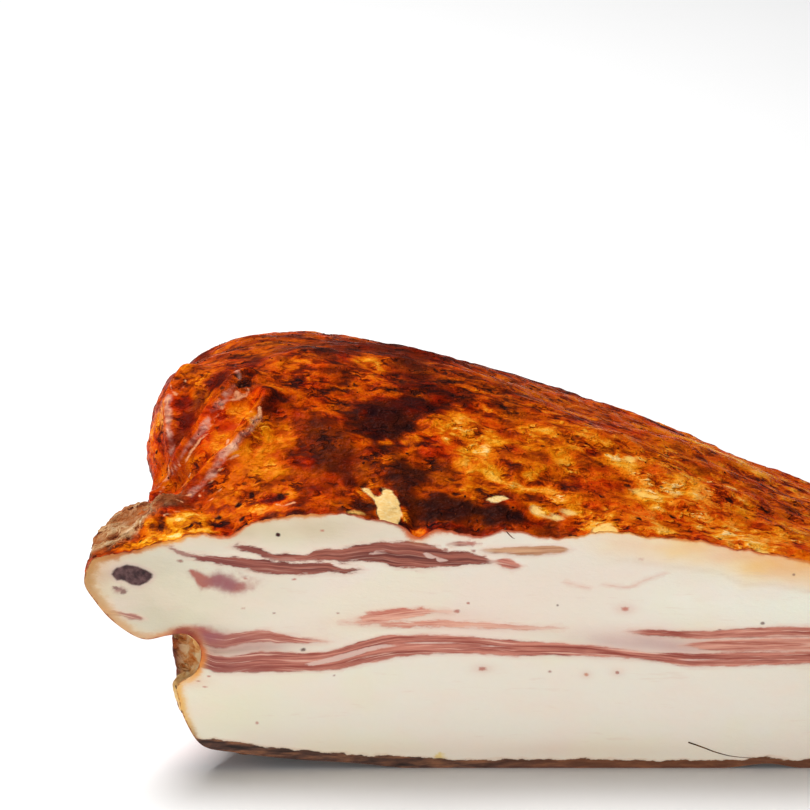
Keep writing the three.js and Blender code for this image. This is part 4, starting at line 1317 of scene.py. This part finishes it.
def cut_material():
    """Fat and lean of the cut, with the gland, stains, spots, rim and rind."""
    s = Shade("cut_fat_and_lean")
    x = s.split(s.place)[0]
    cloud = s.noise(9, (2.2, 1, 1))
    pool = s.noise(15, (1.6, 1, 1), 2, 0.5, (31, 7, 5))
    veins = s.noise(1.5, (7, 1, 1), 3, 0.6, twist=0.3)
    base = s.attribute("fat").toward((235, 212, 196), cloud.span(0.42, 0.66, 0, 0.3))
    base = base.toward((228, 222, 194), pool.span(0.5, 0.66, 0, 0.35))
    base = base.toward((216, 186, 166), veins.span(0.62, 0.74, 0, 0.22))
    # Streaks of lean with their fibres
    lean_all = 0
    edge = s.noise(1.1, (3.5, 1, 1), 4, 0.62) * 1.1 - 0.55
    for group in range(STREAK_GROUPS):
        v, h, tone = s.split(s.attribute(f"streak_{group}"))
        torn = edge * tone.span(0.1, 0.3, 2.3, 1.2)
        torn = torn * (tone.span(0.5, 0.6) * tone.span(0.7, 0.65) + 1)
        inside = h - abs(v) + torn
        share = inside.span(-0.3, 0.3) * h.span(0.1, 0.7, 0.45, 1)
        fibres = s.noise(1, None, 4, 0.62, twist=0.25,
                         at=s.join(x * 0.045, v * 1.15 + 11 * group, tone * 3))
        threads = s.noise(1, None, 3, 0.6, at=s.join(x * 0.16, v * 3.4, group))
        pale = s.noise(1, at=s.join(x * 0.07, v * 1.9, 5 + group))
        mixed = fibres * 0.72 + threads * 0.28
        deep = tone.ramp((0, (94, 36, 30)), (0.33, (142, 62, 50)), (0.66, (196, 112, 92)),
                         (1, (164, 110, 72)))
        light = tone.ramp((0, (164, 92, 74)), (0.33, (204, 132, 112)), (0.66, (230, 178, 154)),
                          (1, (206, 160, 118)))
        lean = deep.toward(light, mixed.span(0.36, 0.62))
        lean = lean.toward((224, 196, 182), mixed.span(0.62, 0.74, 0, 0.8))
        lean = lean.toward((126, 56, 52), x.span(-52, -75, 0, 0.62))
        lean = lean.toward((226, 182, 162), pale.span(0.56, 0.66) * tone.span(0.1, 0.3, 0.25, 0.75))
        base = base.toward(lean, share)
        lean_all = s.math("MAXIMUM", share, lean_all)
        # Rosy stain of the fat beside a streak
        base = base.toward((220, 180, 162), inside.span(-1.2, 0.1, 0, 0.35) * (1 - share))
    rim_in, rim_width, pale = s.split(s.attribute("rim"))
    base = base.toward((216, 184, 170), (edge * 0.4 + pale).span(-0.18, 0.12) * 0.85)
    # Gland and stains
    rind_in, gland, purple = s.split(s.attribute("marks"))
    spot, spot_tone, red = s.split(s.attribute("spots"))
    wander = s.noise(1.2, None, 3, 0.6) * 0.5 - 0.25
    base = base.toward((166, 86, 74), (red + wander * 0.9).span(0.05, 0.85, 0, 0.92))
    base = base.toward((148, 90, 96), (purple + wander * 0.9).span(0.05, 1.05, 0, 0.8))
    gland = gland + wander * 0.8
    pulp = s.noise(2.2, None, 4, 0.6).ramp(
        (0.35, (34, 16, 18)), (0.5, (72, 44, 45)), (0.68, (108, 76, 74)))
    base = base.toward((200, 168, 158), gland.span(-1.3, 0.1, 0, 0.5))
    base = base.toward(pulp, gland.span(-0.3, 0.25))
    # Small spots
    dots = spot_tone.ramp((0, (58, 10, 8)), (0.33, (118, 90, 82)), (0.66, (190, 112, 94)),
                          (1, (224, 196, 112)))
    spot = wander * spot.span(0, 0.15, 0.3, 1.7) + spot
    base = base.toward(dots, spot.span(0.05, 0.65) * spot_tone.span(0.1, 0.3, 1, 0.85))
    # Translucent rim, then the ragged crust at the very edge
    tint = s.attribute("rim_colour")
    ragged = s.noise(1.5, (1.6, 1, 1), 4, 0.65, twist=0.4) * 2 - 1
    glow = (rim_in / (rim_width * 1.9 + 0.6)).span(1, 0, 0, 0.55)
    glow = glow * rim_width.span(0.4, 1.1, 0.45, 1)
    base = base.toward(tint.toward((238, 200, 136), 0.5), glow)
    reach = rim_width * (ragged * 1.1 + 1) + 0.05
    base = base.toward(tint, (rim_in / reach).span(1.5, 0.3, 0, 0.92))
    dark = tint.toward((176, 122, 90), 1, "MULTIPLY")
    base = base.toward(dark, (rim_in + ragged * 0.7).span(0.3, 0, 0, 0.8))
    # Rind along the base
    rind_in = s.noise(2.2, (2.6, 1, 1), 4, 0.6, (4, 0, 9)) * 2.8 - 1.4 + rind_in
    hide = s.noise(1.1, (6, 1, 1), 4, 0.6).ramp(
        (0.34, (38, 22, 16)), (0.48, (82, 52, 40)), (0.66, (142, 92, 62)))
    hide = hide.toward((126, 72, 40), x.span(-30, 20, 0, 0.55))
    base = base.toward((206, 160, 120), rind_in.span(-0.7, 0.1, 0, 0.4))
    base = base.toward(hide, rind_in.span(-0.1, 0.14))
    grain = s.noise(0.7, (2, 1, 1), 3, 0.6)
    rough = grain.span(0.3, 0.7, 0.44, 0.58) - lean_all * 0.06
    relief = grain * 0.35 + cloud * 0.6 - lean_all * veins * 0.5
    return s.surface(base, rough, relief, 0.00025, {
        "IOR": 1.3, "Subsurface Weight": 0.25, "Subsurface Radius": (1, 0.6, 0.4),
        "Subsurface Scale": 0.0016})


def floor_material():
    """Nearly white, even floor."""
    s = Shade("pale_floor")
    tint = s.noise(90, None, 2, 0.5).ramp((0, (251, 251, 251)), (1, (253, 253, 253)))
    return s.surface(tint, 0.9, steady={"Specular IOR Level": 0.1})


def bristle_material():
    """Brown hair, darker and lighter along it."""
    s = Shade("dark_bristle")
    tint = s.noise(2.4, None, 2, 0.5).ramp((0.35, (48, 26, 14)), (0.65, (112, 74, 42)))
    return s.surface(tint, 0.5, steady={"IOR": 1.15})


def spice_material():
    """Dark, rough grains of spice."""
    s = Shade("dark_spice")
    tint = s.noise(1.6, None, 3, 0.6).ramp(
        (0.35, (40, 14, 10)), (0.55, (70, 24, 12)), (0.72, (120, 52, 16)))
    return s.surface(tint, 0.6, s.noise(0.4, None, 2, 0.6), 0.0001, {"IOR": 1.1})


# Bristles on the cut face: points, and radius
HAIRS = [
    ([(-8.2, 57.3), (-7.7, 56.4), (-7.1, 55.7), (-6.5, 55.1), (-5.9, 54.9)], 0.2),
    ([(33.2, 6.2), (34.9, 5.6), (36.9, 4.8), (38.8, 4), (40.6, 3.4), (42.4, 2.9), (44.8, 2.55),
     (47.3, 2.4)], 0.21),
]
HAIR_SIDES = 6
HAIR_TAPER = 0.75
HAIR_GAP = 0.01


def build_hairs(material):
    """Bristles lying on the cut face, as closed tubes that grow thinner."""
    points, faces = [], []
    turns = 2 * math.pi * np.arange(HAIR_SIDES) / HAIR_SIDES
    for path, radius in HAIRS:
        corners = np.array(path)
        line = np.empty((2 * len(corners) - 1, 2))
        line[::2] = corners
        line[1::2] = (corners[:-1] + corners[1:]) / 2
        way = np.gradient(line, axis=0)
        way /= np.linalg.norm(way, axis=1, keepdims=True)
        start, rows = len(points), len(line)
        for k, ((x, z), (way_x, way_z)) in enumerate(zip(line, way)):
            thin = radius * (1 - HAIR_TAPER * (k / (rows - 1)) ** 2)
            for across, up in zip(thin * np.cos(turns), thin * np.sin(turns)):
                points.append((x - way_z * across, radius + HAIR_GAP - DEPTH / 2 + up,
                               z + way_x * across))
        faces += tube_faces(rows, HAIR_SIDES, start)
        faces.append(list(range(start, start + HAIR_SIDES)))
        faces.append(list(range(len(points) - 1, len(points) - 1 - HAIR_SIDES, -1)))
    return add_mesh("bristles", points, faces, [material])


# Crumbs: their number and seed, the radius, how uneven a corner and a whole lump are, how
# far a lump stands out, as a share of its radius, and how flat it is pressed
CRUMB_COUNT = 260
CRUMB_SEED = 29
CRUMB_SIZE = (0.14, 0.34)
CRUMB_DENTS = (0.7, 1.25)
CRUMB_STRETCH = (0.7, 1.3)
CRUMB_RISE = 0.12
CRUMB_PRESS = 0.45
# They lie above this height, and at this distance from the cut and from the box
CRUMB_LOW = 24
CRUMB_BEHIND = (1.2, 106)
CRUMB_ROOM = 0.9
CRUMB_CORNERS = 12
CRUMB_SIDE = 1.2
# Crumbs on the edge of the cut: place and size
CRUMB_MARKS = [
    (-99.4, 51.6, 0.55), (-80.7, 19.2, 0.5), (-80, 13.4, 0.4),
]


def crumb_shape():
    """Corners and faces of a small lump, an icosahedron."""
    golden = (1 + 5 ** 0.5) / 2
    corners = []
    for a in (-1, 1):
        for b in (-golden, golden):
            corners += [(0, a, b), (a, b, 0), (b, 0, a)]
    corners = np.array(corners) / math.hypot(1, golden)
    sides = []
    for i in range(CRUMB_CORNERS):
        for j in range(i + 1, CRUMB_CORNERS):
            for k in range(j + 1, CRUMB_CORNERS):
                a, b, c = corners[[i, j, k]]
                if max(math.dist(a, b), math.dist(b, c), math.dist(c, a)) < CRUMB_SIDE:
                    outward = np.cross(b - a, c - a) @ (a + b + c) > 0
                    sides.append((i, j, k) if outward else (i, k, j))
    return corners, sides


def build_crumbs(body, placed, material):
    """Dark grains of spice pressed into the crust, one joined mesh."""
    rng = np.random.default_rng(CRUMB_SEED)
    normals = np.empty(len(placed) * 3)
    body.data.vertices.foreach_get("normal", normals)
    normals = normals.reshape(-1, 3)[:SKIN_POINTS]
    p = placed[:SKIN_POINTS]
    d = behind_cut(p)
    low, high = placed.min(0), placed.max(0)
    nearest, farthest = CRUMB_BEHIND
    crust = (p[:, 2] > CRUMB_LOW) & (d > nearest) & (d < farthest) & (normals[:, 2] > -0.2)
    room = ((p > low + CRUMB_ROOM) & (p < high - CRUMB_ROOM)).all(1) | (d < 4)
    chance = np.where(crust, np.clip(fractal(p, "crumbs") + 0.35, 0.02, 1) ** 2, 0) * room
    picks = rng.choice(len(p), CRUMB_COUNT, False, chance / chance.sum())
    places = [(p[i], normals[i], rng.uniform(*CRUMB_SIZE)) for i in picks]
    for x, z, size in CRUMB_MARKS:
        k = int(np.hypot(p[:RING_POINTS, 0] - x, p[:RING_POINTS, 2] - z).argmin())
        places.append((p[k] + (0, size + 0.2, 0), normals[k], size))
    corners, sides = crumb_shape()
    points, faces = [], []
    for at, normal, size in places:
        lump = corners * rng.uniform(*CRUMB_DENTS, (len(corners), 1))
        lump = lump * size * rng.uniform(*CRUMB_STRETCH, 3)
        turn = Matrix.Rotation(rng.uniform(0, 6.3), 3, Vector(rng.normal(size=3)))
        lump = lump @ np.array(turn).T
        lump -= normal * (lump @ normal)[:, None] * CRUMB_PRESS
        lump = np.clip(lump + at + normal * size * CRUMB_RISE, low, high)
        faces += [[len(points) + i for i in side] for side in sides]
        points += lump.tolist()
    return add_mesh("spice_crumbs", points, faces, [material], flat=True)


body, placed = build_body(crust_material(), cut_material())
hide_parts("cured_pork_jowl")
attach(body, "root")

hairs = build_hairs(bristle_material())
crumbs = build_crumbs(body, placed, spice_material())
for piece in (hairs, crumbs):
    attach(piece, "root")

# Floor, light and camera
FLOOR_HALF = 2400
floor_corners = [(-FLOOR_HALF, -FLOOR_HALF, 0), (FLOOR_HALF, -FLOOR_HALF, 0),
                 (FLOOR_HALF, FLOOR_HALF, 0), (-FLOOR_HALF, FLOOR_HALF, 0)]
floor = add_mesh("floor", floor_corners, [(0, 1, 2, 3)], [floor_material()], flat=True)

world = bpy.data.worlds.new("studio")
world.use_nodes = True
world.node_tree.nodes["Background"].inputs["Color"].default_value = (1, 1, 1, 1)
world.node_tree.nodes["Background"].inputs["Strength"].default_value = 0.19
bpy.context.scene.world = world

# Lamps: name, place, what it faces, width, height in metres, power in watts
LAMPS = [
    ("overhead", (-0.52, 0.32, 1.12), (0, 0, 0), 0.6, 0.36, 17.6),
    ("front", (-0.5, -1.5, 0.16), (0, -0.05, 0.05), 0.9, 0.24, 11.3),
]
for name, at, facing, width, height, power in LAMPS:
    light = bpy.data.lights.new(name, "AREA")
    light.shape = "RECTANGLE"
    light.size = width
    light.size_y = height
    light.energy = power
    lamp = add_object(name, light)
    lamp.location = at
    lamp.rotation_euler = (Vector(facing) - Vector(at)).to_track_quat("-Z", "Y").to_euler()

LENS = 184
SENSOR_WIDTH = 36
LOOK_AT = (-0.030167, -0.055, 0.086058)
ELEVATION = math.radians(19)
DISTANCE = 0.9
lens = bpy.data.cameras.new("camera")
lens.lens = LENS
lens.sensor_width = SENSOR_WIDTH
lens.clip_end = 20
camera = add_object("camera", lens)
forward = Vector((0, math.cos(ELEVATION), -math.sin(ELEVATION)))
camera.location = Vector(LOOK_AT) - forward * DISTANCE
camera.rotation_euler = forward.to_track_quat("-Z", "Y").to_euler()
bpy.context.scene.camera = camera
bpy.context.scene.view_settings.view_transform = "Standard"
